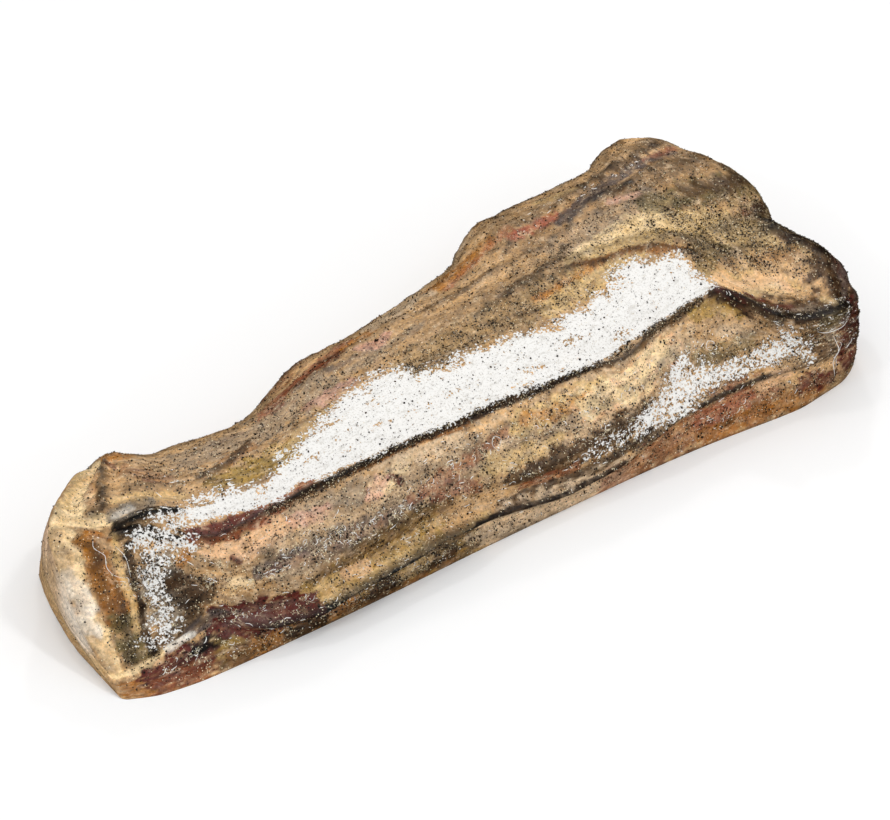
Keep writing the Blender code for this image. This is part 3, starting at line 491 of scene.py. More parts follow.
# Each stroke: pigment, strength, softness, then (along, band, half width in mm) points
strokes = (
    # broad grounds of the top, from the crease back
    ("tan", 0.7, 0.9, ((60, 2.6, 22), (160, 2.7, 22), (250, 2.6, 24))),
    ("ash", 0.55, 0.8, ((60, 2.85, 9), (110, 2.85, 9), (165, 2.8, 10))),
    ("olive", 0.35, 0.8, ((210, 2.5, 9), (270, 2.5, 10), (320, 2.5, 11))),
    ("straw", 0.8, 0.8, ((300, 2.42, 7), (330, 2.47, 8), (400, 2.52, 16), (450, 2.45, 16))),
    ("umber", 0.35, 0.8, ((320, 2.85, 12), (400, 2.87, 14), (460, 2.87, 16))),
    ("ash", 0.45, 0.8, ((330, 2.7, 10), (400, 2.72, 11))),
    # grounds of the flap
    ("beige", 0.5, 0.8, ((100, 1.6, 14), (170, 1.6, 14), (260, 1.65, 14), (360, 1.65, 14))),
    ("tan", 0.5, 0.8, ((105, 1.2, 8), (180, 1.2, 8), (230, 1.3, 8))),
    ("tan", 0.6, 0.8, ((330, 1.5, 14), (400, 1.55, 14))),
    # narrow end, top
    ("cream", 0.95, 0.35, ((10, 2.2, 7), (14, 2.5, 10), (16, 2.9, 11), (14, 3.15, 11))),
    ("straw", 0.75, 0.6, ((7, 2.3, 4), (7, 2.9, 4))),
    ("amber", 0.5, 0.6, ((25, 2.5, 3), (26, 2.9, 3))),
    ("peach", 0.5, 0.6, ((22, 2.35, 3), (24, 2.8, 3))),
    ("amber", 0.85, 0.5, ((28, 3.1, 5), (38, 3.02, 6), (50, 3.1, 7), (58, 3.3, 8))),
    ("wine", 0.7, 0.5, ((33, 2.88, 1.6), (40, 2.84, 1.6))),
    ("umber", 0.6, 0.6, ((26, 2.22, 2.4), (30, 2.45, 3), (33, 2.7, 3))),
    ("tan", 0.7, 0.7, ((38, 2.5, 9), (60, 2.6, 9), (62, 2.9, 9))),
    ("rust", 0.35, 0.8, ((48, 2.75, 5), (62, 2.6, 4))),
    ("wine", 0.6, 0.5, ((52, 2.56, 1.8), (56, 2.54, 1.8))),
    ("straw", 0.6, 0.6, ((33, 2.3, 2.5), (50, 2.32, 3), (66, 2.4, 3))),
    ("cream", 1.0, 0.4, ((2, 2.05, 3.4), (14, 2.065, 3.2), (27, 2.09, 3.0))),
    ("ash", 0.9, 0.4, ((29, 2.11, 3.0), (38, 2.18, 3.2), (50, 2.25, 2.6))),
    ("chalk", 0.5, 0.5, ((30, 2.13, 1.4), (40, 2.2, 1.4))),
    # painted shade: the near-black lines in the grooves beside the pinch
    ("paintedShadeBlack", 0.97, 0.4, ((27, 2.02, 1.6), (38, 2.07, 4.2), (50, 2.13, 4.2), (58, 2.18, 2.4))),
    ("paintedShadeBlack", 0.9, 0.5, ((26, 1.96, 2.6), (40, 1.91, 3.4), (54, 1.88, 2.8))),
    # front panel of the narrow end
    ("honey", 0.9, 0.5, ((15, 1.85, 7), (15, 1.6, 7), (15, 1.4, 6))),
    ("amber", 0.9, 0.6, ((13, 1.86, 6), (17, 1.6, 6))),
    ("honey", 0.6, 0.7, ((18, 1.8, 4), (19, 1.5, 5))),
    ("olive", 0.8, 0.6, ((16, 1.3, 7), (17, 1.12, 7))),
    ("tan", 0.6, 0.5, ((8, 1.9, 3), (8, 1.4, 3))),
    ("cream", 0.8, 0.5, ((4, 1.98, 4.5), (4, 1.7, 4.5), (4, 1.4, 4.0), (4, 1.08, 3.5))),
    ("tan", 0.5, 0.5, ((2, 1.9, 3), (2, 1.7, 3), (2, 1.1, 3))),
    ("chalk", 0.5, 0.7, ((2, 1.66, 3.5), (3, 1.5, 5), (3, 1.36, 4))),
    # painted shade: the near-black line down the panel's groove
    ("darkBrownAndShade", 0.85, 0.5, ((31, 1.85, 1.9), (28, 1.6, 1.9), (25, 1.3, 1.9), (23, 1.1, 1.9))),
    ("straw", 0.8, 0.5, ((26, 1.95, 1.5), (24, 1.6, 1.5), (21, 1.25, 1.5))),
    ("ash", 0.8, 0.6, ((40, 1.6, 9), (36, 1.25, 8))),
    ("darkBrownAndShade", 0.75, 0.6, ((44, 1.5, 5), (48, 1.3, 6))),
    ("darkBrownAndShade", 0.7, 0.6, ((30, 1.13, 3.5), (44, 1.15, 4), (55, 1.3, 4))),
    ("umber", 0.8, 0.6, ((47, 1.45, 5), (57, 1.4, 5))),
    ("amber", 0.9, 0.5, ((50, 1.6, 2.2), (54, 1.7, 2.6))),
    # pale fat and red spots of the flap
    ("peach", 0.9, 0.6, ((66, 1.85, 5), (80, 1.8, 7), (104, 1.85, 6))),
    ("cream", 0.6, 0.6, ((71, 1.52, 4), (78, 1.5, 3))),
    ("brick", 0.8, 0.6, ((90, 1.95, 2.2), (98, 1.93, 2.2))),
    ("wine", 0.75, 0.5, ((74, 1.76, 1.6), (76, 1.70, 1.6))),
    ("wine", 0.75, 0.5, ((168, 1.79, 1.6), (172, 1.71, 1.9))),
    ("cream", 0.7, 0.6, ((160, 1.72, 4), (166, 1.74, 4), (180, 1.83, 4))),
    ("wine", 0.85, 0.5, ((169, 1.77, 1.8), (172, 1.70, 2.2))),
    ("ash", 0.45, 0.7, ((112, 1.9, 5), (150, 1.8, 5))),
    ("beige", 0.8, 0.6, ((172, 1.88, 4), (190, 1.85, 5), (212, 1.85, 4))),
    ("slate", 0.75, 0.6, ((84, 1.58, 3.4), (106, 1.58, 3.4))),
    ("wine", 0.35, 0.7, ((88, 1.56, 2.4), (100, 1.54, 3), (114, 1.5, 2.6))),
    ("rose", 0.5, 0.7, ((112, 1.82, 4), (128, 1.74, 4))),
    ("rose", 0.6, 0.6, ((156, 1.7, 3), (164, 1.78, 4))),
    ("slate", 0.6, 0.7, ((108, 1.58, 4), (126, 1.52, 5), (150, 1.48, 4), (178, 1.47, 4))),
    ("wine", 0.3, 0.7, ((124, 1.44, 3), (140, 1.5, 3), (160, 1.44, 3))),
    ("ochre", 0.6, 0.8, ((105, 1.18, 7), (140, 1.17, 7), (182, 1.2, 7))),
    ("umber", 0.65, 0.8, ((118, 1.3, 5), (150, 1.28, 6), (190, 1.32, 5))),
    ("peach", 0.6, 0.6, ((128, 1.12, 3), (140, 1.12, 3))),
    ("straw", 0.6, 0.6, ((112, 1.2, 3), (122, 1.16, 3))),
    ("rust", 0.6, 0.7, ((176, 1.5, 3), (196, 1.56, 4), (215, 1.64, 4), (238, 1.74, 3))),
    ("brick", 0.55, 0.7, ((188, 1.4, 3), (198, 1.42, 5), (214, 1.38, 3))),
    ("straw", 0.7, 0.7, ((222, 1.5, 6), (262, 1.5, 6))),
    ("straw", 0.8, 0.6, ((248, 1.75, 6), (275, 1.8, 6), (300, 1.82, 6))),
    ("amber", 0.6, 0.7, ((252, 1.78, 4), (290, 1.74, 4))),
    ("peach", 0.95, 0.7, ((288, 1.68, 6), (320, 1.75, 8), (350, 1.75, 7))),
    ("rose", 0.6, 0.7, ((312, 1.82, 4), (345, 1.66, 5))),
    ("cream", 0.85, 0.7, ((290, 1.72, 7), (318, 1.75, 9), (346, 1.76, 7))),
    ("umber", 0.9, 0.6, ((238, 1.32, 6), (280, 1.36, 7), (320, 1.4, 5))),
    ("rust", 0.7, 0.6, ((240, 1.2, 3), (270, 1.22, 3))),
    ("darkBrownAndShade", 0.8, 0.6, ((222, 1.06, 2), (270, 1.11, 4), (320, 1.1, 4))),
    ("wine", 1.0, 0.4, ((58, 1.11, 5.5), (76, 1.13, 8), (102, 1.11, 6.5))),
    ("slate", 0.35, 0.6, ((66, 1.16, 2.4), (84, 1.18, 3), (96, 1.15, 2.4))),
    ("slate", 0.85, 0.5, ((43, 1.07, 3), (56, 1.08, 4), (64, 1.1, 3))),
    ("straw", 0.7, 0.5, ((100, 1.045, 1.4), (160, 1.045, 1.4), (215, 1.05, 1.2))),
    ("ash", 0.5, 0.7, ((340, 1.68, 4), (356, 1.7, 4), (360, 1.66, 5))),
    ("olive", 0.6, 0.7, ((364, 1.47, 5), (396, 1.44, 5))),
    ("beige", 0.6, 0.7, ((384, 1.62, 4), (400, 1.6, 4))),
    # crease above the flap
    ("rust", 0.95, 0.5, ((60, 1.98, 4.0), (76, 2.02, 5.5), (98, 2.01, 4.5), (112, 2.02, 3.6),
                         (128, 2.03, 3.0))),
    ("wine", 0.85, 0.5, ((60, 2.0, 2.6), (76, 2.04, 3.6), (96, 2.03, 2.4))),
    ("umber", 0.9, 0.6, ((112, 2.0, 1.4), (155, 1.99, 2.4), (172, 1.98, 1.6), (200, 1.975, 2.4),
                         (218, 1.95, 3.0), (240, 1.98, 1.9), (300, 1.98, 1.3))),
    ("honey", 0.6, 0.6, ((150, 1.98, 1.6), (170, 1.97, 1.4), (196, 1.965, 1.8), (220, 1.94, 2.4))),
    # painted shade: the near-black line along the bottom of the crease, over its own brown
    ("darkBrownAndShade", 0.8, 0.5, ((114, 2.0, 0.8), (160, 1.99, 1.1), (218, 1.96, 1.3), (300, 1.98, 0.8))),
    ("umber", 0.7, 0.6, ((300, 1.97, 1.6), (330, 1.98, 2), (372, 1.96, 2), (392, 1.92, 3))),
    ("ochre", 0.7, 0.6, ((374, 1.88, 4), (390, 1.84, 5), (397, 1.75, 3))),
    # right end: hollow with painted shade, fat lobe, dark rim
    ("straw", 0.6, 0.7, ((398, 2.14, 4), (412, 2.2, 9), (426, 2.3, 14), (438, 2.32, 11))),
    ("peach", 0.55, 0.7, ((402, 2.16, 4), (412, 2.2, 7), (426, 2.26, 10), (436, 2.28, 8))),
    ("tan", 0.5, 0.7, ((408, 2.3, 6), (430, 2.36, 8), (442, 2.3, 7))),
    ("straw", 0.5, 0.7, ((420, 2.42, 6), (440, 2.4, 6))),
    ("cream", 0.35, 0.7, ((412, 2.14, 4), (425, 2.2, 4))),
    ("honey", 0.35, 0.8, ((428, 2.36, 6), (440, 2.36, 6))),
    # painted shade: the near-black strokes in the hollow under the fat lobe, over its brown and wine colours
    ("darkBrownAndShade", 1.0, 0.6, ((390, 1.96, 3), (402, 1.97, 6.5), (414, 1.99, 5.5))),
    ("wine", 0.7, 0.6, ((394, 1.97, 3), (402, 1.98, 5), (412, 2.0, 5))),
    ("paintedShadeBlack", 0.8, 0.6, ((394, 1.95, 1.6), (402, 1.95, 2.6), (412, 1.97, 2.4))),
    ("wine", 0.9, 0.6, ((396, 2.01, 4), (404, 2.03, 4.4), (412, 2.04, 4))),
    ("umber", 0.9, 0.8, ((408, 2.0, 8), (430, 2.03, 10), (450, 2.02, 12))),
    ("darkBrownAndShade", 0.75, 0.8, ((412, 2.0, 5), (430, 2.03, 6), (448, 2.02, 7))),
    ("wine", 0.6, 0.6, ((410, 2.02, 3), (424, 2.06, 3))),
    ("slate", 0.6, 0.6, ((425, 2.0, 4), (450, 1.96, 5))),
    ("ash", 0.5, 0.7, ((424, 2.04, 2), (436, 2.06, 3))),
    ("umber", 0.7, 0.7, ((440, 2.06, 3), (452, 2.1, 4))),
    # painted shade: the near-black down the valley at the broad end, over its brown
    ("umber", 0.9, 0.7, ((452, 2.06, 10), (455, 2.25, 10), (456, 2.45, 7))),
    ("darkBrownAndShade", 0.8, 0.7, ((456, 2.06, 7), (459, 2.25, 8), (460, 2.4, 5))),
    ("slate", 0.5, 0.6, ((462, 2.2, 4), (464, 2.4, 4))),
    ("wine", 0.9, 0.5, ((470, 2.4, 7), (472, 2.1, 8), (472, 1.8, 9))),
    ("darkBrownAndShade", 0.75, 0.7, ((470, 2.4, 7), (472, 2.1, 8), (472, 1.8, 8))),
    ("slate", 0.4, 0.7, ((471, 2.3, 3), (472, 1.9, 3))),
    ("slate", 0.5, 0.7, ((460, 2.1, 4), (466, 2.2, 4))),
    ("straw", 0.6, 0.6, ((444, 2.1, 2.2), (447, 2.05, 2))),
    ("umber", 0.7, 0.6, ((416, 1.86, 5), (440, 1.84, 6))),
    ("tan", 0.6, 0.6, ((404, 1.72, 4), (420, 1.8, 3), (432, 1.78, 3))),
    ("olive", 0.6, 0.6, ((438, 1.82, 5), (456, 1.76, 5))),
    ("umber", 0.8, 0.6, ((434, 1.5, 7), (440, 1.2, 8))),
    ("wine", 0.9, 0.6, ((462, 1.75, 9), (466, 1.4, 11), (464, 1.0, 11), (466, 0.6, 9))),
    ("darkBrownAndShade", 0.55, 0.8, ((463, 1.75, 8), (467, 1.4, 9), (466, 1.0, 8))),
    ("ash", 0.5, 0.7, ((447, 1.5, 4), (452, 1.2, 4))),
    # top: streaks of fat, lean and smoke
    ("ochre", 0.95, 0.6, ((86, 2.42, 5), (104, 2.4, 7), (128, 2.4, 7))),
    ("olive", 0.3, 0.7, ((92, 2.42, 4), (124, 2.42, 5))),
    ("amber", 0.5, 0.6, ((96, 2.62, 3), (112, 2.72, 3))),
    ("darkBrownAndShade", 0.6, 0.5, ((82, 2.48, 2), (88, 2.44, 2))),
    ("umber", 0.7, 0.6, ((78, 2.56, 2), (96, 2.6, 2), (112, 2.76, 2))),
    ("straw", 0.5, 0.7, ((120, 2.5, 3), (140, 2.48, 3), (160, 2.55, 2))),
    ("rose", 0.6, 0.7, ((148, 2.7, 3), (164, 2.66, 4), (180, 2.66, 3))),
    ("slate", 0.5, 0.6, ((96, 2.96, 2), (112, 2.98, 2))),
    ("brick", 0.6, 0.6, ((130, 3.02, 4), (150, 3.1, 5), (190, 3.1, 6))),
    ("rust", 0.85, 0.6, ((150, 3.1, 5), (165, 3.05, 5), (188, 3.06, 4))),
    ("darkBrownAndShade", 0.6, 0.5, ((176, 3.1, 3), (187, 3.06, 3))),
    ("amber", 0.8, 0.6, ((190, 3.06, 3), (208, 3.04, 3))),
    ("rose", 0.7, 0.6, ((196, 2.9, 3), (206, 2.86, 4), (214, 2.9, 2))),
    ("slate", 0.6, 0.6, ((172, 2.9, 2), (200, 2.83, 1.6))),
    ("ash", 0.5, 0.7, ((180, 2.77, 3), (230, 2.78, 3))),
    ("darkBrownAndShade", 0.5, 0.6, ((240, 2.92, 2), (254, 2.88, 2.4), (290, 2.86, 2))),
    ("amber", 0.9, 0.6, ((254, 3.14, 5), (285, 3.12, 6), (306, 3.06, 4))),
    ("beige", 0.8, 0.6, ((212, 3.12, 6), (248, 3.14, 6))),
    ("brick", 0.5, 0.7, ((262, 3.02, 2), (320, 2.99, 2.4))),
    ("darkBrownAndShade", 0.6, 0.6, ((280, 2.62, 2.4), (330, 2.65, 2.6), (336, 2.72, 2))),
    ("darkBrownAndShade", 0.5, 0.6, ((262, 2.52, 2), (300, 2.42, 2))),
    ("amber", 0.8, 0.6, ((296, 2.5, 2.6), (330, 2.5, 2.6), (360, 2.5, 4))),
    ("straw", 0.95, 0.6, ((330, 2.6, 4), (352, 2.54, 9), (400, 2.52, 12))),
    ("cream", 0.7, 0.7, ((340, 2.6, 5), (366, 2.58, 7), (396, 2.57, 7))),
    ("honey", 0.9, 0.5, ((328, 2.56, 1.8), (345, 2.48, 3), (362, 2.43, 2.6), (378, 2.34, 2.8),
                         (396, 2.27, 2))),
    ("darkBrownAndShade", 0.6, 0.5, ((338, 2.49, 1.4), (350, 2.46, 1.6))),
    ("brick", 0.9, 0.6, ((318, 2.93, 4), (334, 2.92, 4), (350, 2.93, 2.4))),
    ("wine", 0.5, 0.6, ((330, 2.87, 1.8), (352, 2.9, 1.8), (368, 2.94, 1.6))),
    ("slate", 0.85, 0.6, ((350, 2.86, 5), (378, 2.92, 6), (420, 2.93, 6), (446, 2.92, 4))),
    ("darkBrownAndShade", 0.7, 0.6, ((386, 2.83, 1.8), (402, 2.86, 2))),
    ("darkBrownAndShade", 0.7, 0.6, ((380, 3.08, 5), (410, 3.03, 4), (450, 3.0, 3))),
    ("straw", 0.7, 0.6, ((352, 3.12, 5), (372, 3.1, 4))),
    ("rust", 0.7, 0.6, ((426, 2.94, 2.4), (452, 2.94, 2.6))),
    ("rose", 0.55, 0.7, ((382, 2.8, 3), (398, 2.76, 3))),
    ("olive", 0.75, 0.7, ((400, 2.66, 8), (430, 2.7, 12), (458, 2.68, 14))),
    ("umber", 0.7, 0.8, ((425, 2.72, 8), (456, 2.7, 11))),
    ("darkBrownAndShade", 0.45, 0.8, ((430, 2.72, 6), (456, 2.7, 8))),
    ("rust", 0.6, 0.6, ((449, 2.55, 4), (458, 2.54, 4))),
    ("olive", 0.6, 0.7, ((398, 2.2, 6), (404, 2.35, 6), (412, 2.4, 5))),
    ("straw", 0.7, 0.8, ((352, 2.54, 6), (385, 2.52, 8), (412, 2.52, 8), (440, 2.48, 9))),
    ("cream", 0.45, 0.8, ((362, 2.56, 4), (392, 2.55, 5))),
    # lower layer and its ridge
    ("cream", 0.95, 0.4, ((0, 1.05, 1.6), (20, 1.05, 1.6), (34, 1.06, 1.6))),
    ("chalk", 0.7, 0.5, ((30, 1.05, 1.8), (44, 1.04, 1.8))),
    ("honey", 0.8, 0.7, ((8, 0.5, 6), (18, 0.4, 6))),
    ("wine", 0.95, 0.6, ((18, 0.7, 6), (34, 0.6, 8), (50, 0.55, 5))),
    ("rust", 0.7, 0.7, ((20, 0.3, 5), (44, 0.2, 6))),
    # painted shade: near-black low in the gap under the flap, by the narrow end
    ("paintedShadeBlack", 0.9, 0.5, ((42, 0.8, 3), (56, 0.7, 3), (84, 0.7, 2.6), (104, 0.8, 2.4), (114, 0.95, 2.2))),
    ("ochre", 0.7, 0.7, ((58, 0.4, 7), (120, 0.3, 9), (200, 0.3, 8))),
    ("rust", 0.5, 0.8, ((60, 0.2, 5), (190, 0.2, 5))),
    ("beige", 0.8, 0.7, ((210, 0.5, 10), (250, 0.4, 11), (296, 0.5, 10))),
    ("rust", 0.6, 0.8, ((295, 0.3, 10), (350, 0.5, 12), (395, 0.5, 12))),
    ("honey", 0.7, 0.7, ((360, 0.25, 7), (400, 0.28, 7), (440, 0.2, 6))),
    ("brick", 0.6, 0.7, ((355, 0.65, 6), (386, 0.75, 6))),
    ("peach", 0.75, 0.6, ((396, 0.85, 5), (412, 0.88, 5))),
    ("wine", 0.8, 0.6, ((428, 0.5, 6), (450, 0.35, 6))),
    ("umber", 0.6, 0.8, ((60, 0.15, 6), (130, 0.12, 6), (200, 0.15, 6))),
    ("darkBrownAndShade", 0.6, 0.8, ((112, 0.78, 3), (130, 0.78, 4), (205, 0.78, 3))),
    ("darkBrownAndShade", 0.7, 0.7, ((96, 0.3, 5), (108, 0.4, 5))),
    ("darkBrownAndShade", 0.7, 0.7, ((140, 0.3, 4), (152, 0.4, 5))),
    ("darkBrownAndShade", 0.6, 0.7, ((176, 0.35, 4), (190, 0.4, 4))),
    ("amber", 0.7, 0.7, ((116, 0.35, 4), (128, 0.45, 4))),
    ("amber", 0.7, 0.7, ((72, 0.3, 4), (84, 0.35, 4))),
    ("straw", 0.6, 0.7, ((160, 0.4, 4), (172, 0.5, 4))),
    # painted shade: near-black along the gap under the flap and along the seam of the broad half
    ("paintedShadeBlack", 0.97, 0.4, ((112, 0.965, 2.0), (206, 0.97, 1.8), (222, 0.99, 1.4))),
    ("wine", 0.95, 0.5, ((56, 0.95, 5), (80, 0.93, 6), (98, 0.97, 5), (108, 1.02, 3))),
    ("slate", 0.35, 0.7, ((62, 1.0, 3), (90, 0.98, 3))),
    ("darkBrownAndShade", 0.9, 0.5, ((206, 1.0, 1.8), (260, 1.0, 1.4), (300, 1.0, 1.6))),
    ("darkBrownAndShade", 0.85, 0.45, ((352, 1.0, 1.0), (376, 1.015, 1.2), (402, 1.01, 1.0))),
    ("rust", 0.5, 0.6, ((362, 1.08, 2), (386, 1.08, 2))),
    # back, out of the photo's view: the same kinds of fat and lean
    ("tan", 0.6, 0.9, ((20, 3.6, 18), (200, 3.6, 18), (440, 3.6, 20))),
    ("amber", 0.5, 0.8, ((60, 3.5, 8), (150, 3.7, 8))),
    ("rust", 0.5, 0.8, ((150, 3.4, 8), (230, 3.6, 8))),
    ("beige", 0.6, 0.8, ((230, 3.3, 8), (300, 3.5, 8))),
    ("umber", 0.5, 0.8, ((320, 3.4, 9), (440, 3.3, 9))),
    ("peach", 0.5, 0.8, ((340, 3.7, 7), (400, 3.75, 7))),
    ("wine", 0.4, 0.8, ((90, 3.8, 5), (140, 3.8, 5))),
)
# The narrow end's face, out to the rim: (across, up, half width) points
endStrokes = (
    ("beige", 0.8, 0.8, ((10, 20, 24), (40, 25, 28), (90, 25, 28))),
    ("tan", 0.65, 0.8, ((10, 20, 24), (40, 25, 28), (90, 25, 28))),
    ("ash", 0.3, 0.8, ((60, 52, 14), (90, 40, 14))),
    ("chalk", 0.6, 0.6, ((26, 20, 7), (38, 32, 11), (48, 42, 8))),
    ("beige", 0.7, 0.7, ((50, 56, 8), (80, 54, 10), (100, 40, 8))),
    ("straw", 0.7, 0.6, ((2, 4, 6), (30, 6, 5), (90, 6, 6))),
    ("rose", 0.25, 0.8, ((52, 52, 7), (80, 50, 8))),
    ("ash", 0.4, 0.7, ((84, 20, 6), (90, 36, 5))),
)
broadEndStrokes = (
    ("wine", 0.9, 0.7, ((10, 20, 16), (40, 30, 22), (80, 30, 20))),
    ("slate", 0.6, 0.7, ((30, 45, 10), (60, 40, 10))),
    ("umber", 0.7, 0.8, ((100, 35, 22), (180, 35, 22))),
    ("straw", 0.5, 0.8, ((110, 55, 8), (160, 50, 8))),
    ("chalk", 0.5, 0.6, ((4, 6, 5), (14, 20, 3))),
)
# White bloom: its lower and upper edge as (along, band), and patches as (strength, path)
bloom = {
    "lowerEdge": ((46, 1.97), (54, 2.01), (62, 2.09), (72, 2.12), (84, 2.09), (97, 2.06), (108, 2.03),
                  (122, 2.07), (136, 2.01), (150, 2.03), (170, 2.00), (200, 2.00), (214, 1.965), (226, 2.00),
                  (300, 2.0), (385, 2.0), (396, 2.02)),
    "upperEdge": ((46, 2.03), (52, 2.12), (58, 2.24), (70, 2.33), (85, 2.33), (100, 2.25), (108, 2.20),
                  (115, 2.30), (130, 2.35), (137, 2.43), (155, 2.50), (165, 2.57), (190, 2.60), (200, 2.57),
                  (207, 2.52), (212, 2.42), (225, 2.38), (235, 2.40), (262, 2.36), (292, 2.31), (320, 2.37),
                  (331, 2.38), (335, 2.31), (339, 2.40), (350, 2.40), (360, 2.37), (370, 2.31), (388, 2.25),
                  (396, 2.08)),
    "fade": (5.0, 15.0),             # millimetres from thick to bare, at the lower and the upper edge
    "thick": 0.40,                   # how far the crust stands up
    "patches": (
        (0.66, ((318, 1.25, 6), (345, 1.26, 12), (366, 1.30, 9))),
        (0.70, ((346, 1.45, 5), (352, 1.56, 5))),
        (0.60, ((366, 1.24, 6), (400, 1.24, 6))),
        (0.62, ((402, 1.26, 7), (412, 1.42, 8), (418, 1.58, 7))),
        (0.5, ((420, 1.55, 6), (428, 1.3, 7), (430, 1.15, 5))),
        (0.42, ((276, 1.3, 5), (300, 1.3, 5), (318, 1.25, 8))),
        (0.56, ((36, 1.86, 6), (46, 1.8, 9), (57, 1.84, 6))),
        (0.54, ((42, 1.8, 8), (37, 1.5, 7), (34, 1.3, 6), (31, 1.12, 5))),
        (0.34, ((22, 1.15, 5), (40, 1.17, 6))),
        (0.50, ((50, 2.04, 4), (58, 2.08, 6), (66, 2.16, 6))),
        (0.60, ((118, 2.43, 3), (124, 2.43, 3))),
    ),
}
# Where pepper lies: share of the most, softness, then the path
pepperStrokes = (
    (0.60, 0.9, ((60, 1.5, 26), (250, 1.5, 26), (420, 1.5, 26))),
    (0.50, 0.9, ((60, 2.6, 20), (200, 2.7, 20))),
    (0.90, 0.8, ((210, 2.5, 10), (320, 2.5, 12))),
    (0.60, 0.8, ((300, 2.7, 14), (400, 2.7, 20))),
    (1.30, 0.8, ((400, 2.5, 18), (450, 2.5, 24))),
    (1.60, 0.8, ((400, 2.3, 9), (440, 2.35, 12))),
    (2.40, 0.6, ((100, 1.99, 2.0), (220, 1.97, 2.4), (300, 1.99, 1.6), (380, 1.97, 3))),
    (1.10, 0.7, ((34, 1.8, 9), (38, 1.3, 9), (50, 1.3, 6))),
    (0.90, 0.7, ((14, 1.3, 9), (17, 1.1, 7))),
    (1.20, 0.8, ((300, 1.2, 8), (400, 1.3, 8), (424, 1.4, 12))),
    (0.60, 0.7, ((250, 1.8, 8), (300, 1.8, 8))),
    (1.10, 0.8, ((80, 0.5, 9), (200, 0.5, 9))),
    (0.60, 0.8, ((210, 0.5, 9), (440, 0.5, 10))),
)
# Where painted highlights go, the wet skin's fine folds drawn near white as lines and raised folds: share of
# the most, softness, then the path
highlightFoldStrokes = (
    (0.55, 0.7, ((20, 1.95, 2), (19, 1.7, 2), (24, 1.5, 3))),
    (0.8, 0.8, ((30, 1.5, 6), (34, 1.2, 6))),
    (0.6, 0.7, ((40, 2.1, 4), (52, 2.1, 4))),
    (1.0, 0.6, ((55, 1.4, 3), (67, 1.68, 3))),
    (0.8, 0.7, ((74, 1.45, 6), (100, 1.55, 6))),
    (1.0, 0.7, ((85, 1.56, 4), (105, 1.6, 4), (118, 1.52, 6), (150, 1.46, 7), (178, 1.46, 6))),
    (1.0, 0.6, ((62, 1.12, 4), (68, 1.1, 4))),
    (1.0, 0.6, ((80, 1.15, 4), (88, 1.1, 5))),
    (0.8, 0.6, ((96, 1.05, 4), (102, 1.1, 4))),
    (0.5, 0.7, ((105, 1.08, 3), (180, 1.07, 3))),
    (0.5, 0.8, ((180, 1.5, 8), (232, 1.7, 8), (290, 1.7, 8))),
    (0.8, 0.7, ((225, 1.72, 3), (240, 1.7, 3))),
    (0.7, 0.8, ((360, 1.6, 6), (388, 1.5, 6))),
    (0.4, 0.7, ((396, 1.95, 5), (420, 2.0, 5), (456, 2.02, 6))),
    (0.8, 0.7, ((438, 1.7, 6), (460, 1.6, 8), (462, 1.2, 8))),
    (0.9, 0.7, ((32, 0.7, 6), (44, 0.5, 8))),
    (0.5, 0.8, ((60, 0.5, 8), (190, 0.5, 8))),
    (0.6, 0.8, ((355, 0.6, 6), (385, 0.6, 6))),
    (0.35, 0.8, ((60, 2.6, 8), (90, 2.55, 10))),
    (0.35, 0.8, ((330, 2.95, 8), (420, 2.95, 9))),
    (0.35, 0.9, ((60, 1.5, 26), (250, 1.5, 26), (430, 1.5, 26))),
)
# How strokes wander, size and reach in mm
warp = {"wide": ((17.0, 8.0, 8.0), 3.0), "fine": ((4.5, 2.8, 2.8), 1.5)}
# How large the uneven patches of each are, in mm
patchSizes = {
    "ground": (26.0, 7.0, 7.0),
    "stroke": (6.0, 3.0, 3.0),
    "bloom": (16.0, 5.0, 5.0),
    "film": (9.0, 5.0, 5.0),
    "pepper": (8.0, 6.0, 6.0),
}


def linearColour(code):
    values = [int(code[i:i + 2], 16) / 255 for i in (0, 2, 4)]
    return [v / 12.92 if v <= 0.04045 else ((v + 0.055) / 1.055) ** 2.4 for v in values]


def onChart(path):
    points = np.array(path, float)
    share = shareOf(points[:, 0], points[:, 1])
    place = girthAt(points[:, 0], share[:, None])[:, 0]
    return np.stack((points[:, 0], place), 1), points[:, 2]


def strokeReach(places, spine, halfWidths):  # distance from a stroke's spine, 1 at its edge
    nearest = np.full(places.shape[:-1], 99.0)
    for start, end, first, last in zip(spine[:-1], spine[1:], halfWidths[:-1], halfWidths[1:]):
        run = end - start
        part = np.clip(((places - start) @ run) / (run @ run), 0, 1)
        away = np.linalg.norm(places - start - part[..., None] * run, axis=-1)
        nearest = np.minimum(nearest, away / (first + (last - first) * part))
    return nearest


def strokeMask(places, spine, halfWidths, softness):  # 1 inside a stroke, 0 outside
    return 1 - smoothStep(1 - softness, 1 + softness, strokeReach(places, spine, halfWidths))


def wander(grid):  # chart places, and how far each may move so that no stroke has an even edge
    places = np.stack((grid["along"], grid["girth"]), -1)
    drift = np.zeros_like(places)
    for scale, reach in warp.values():
        drift[..., 0] += 1.6 * reach * noiseField(grid["flow"], scale, (3.1, 0, 0))
        drift[..., 1] += reach * noiseField(grid["flow"], scale, (0, 7.7, 0))
    return places, drift


def chartMask(charted, path, softness):  # a thin stroke drifts less than a broad one
    places, drift = charted
    spine, halfWidths = onChart(path)
    return strokeMask(places + drift * min(1.0, halfWidths.mean() / 6.0), spine, halfWidths, softness)


def ridgeRelief(charted, table):  # raised or sunk lines: (height, (along, band, width) points)
    places, drift = charted
    out = np.zeros(places.shape[:2])
    for height, path in table:
        spine, widths = onChart(path)
        moved = places + drift * min(0.6, widths.mean() / 9.0)
        out += height * np.exp(-strokeReach(moved, spine, widths) ** 2)
    return out


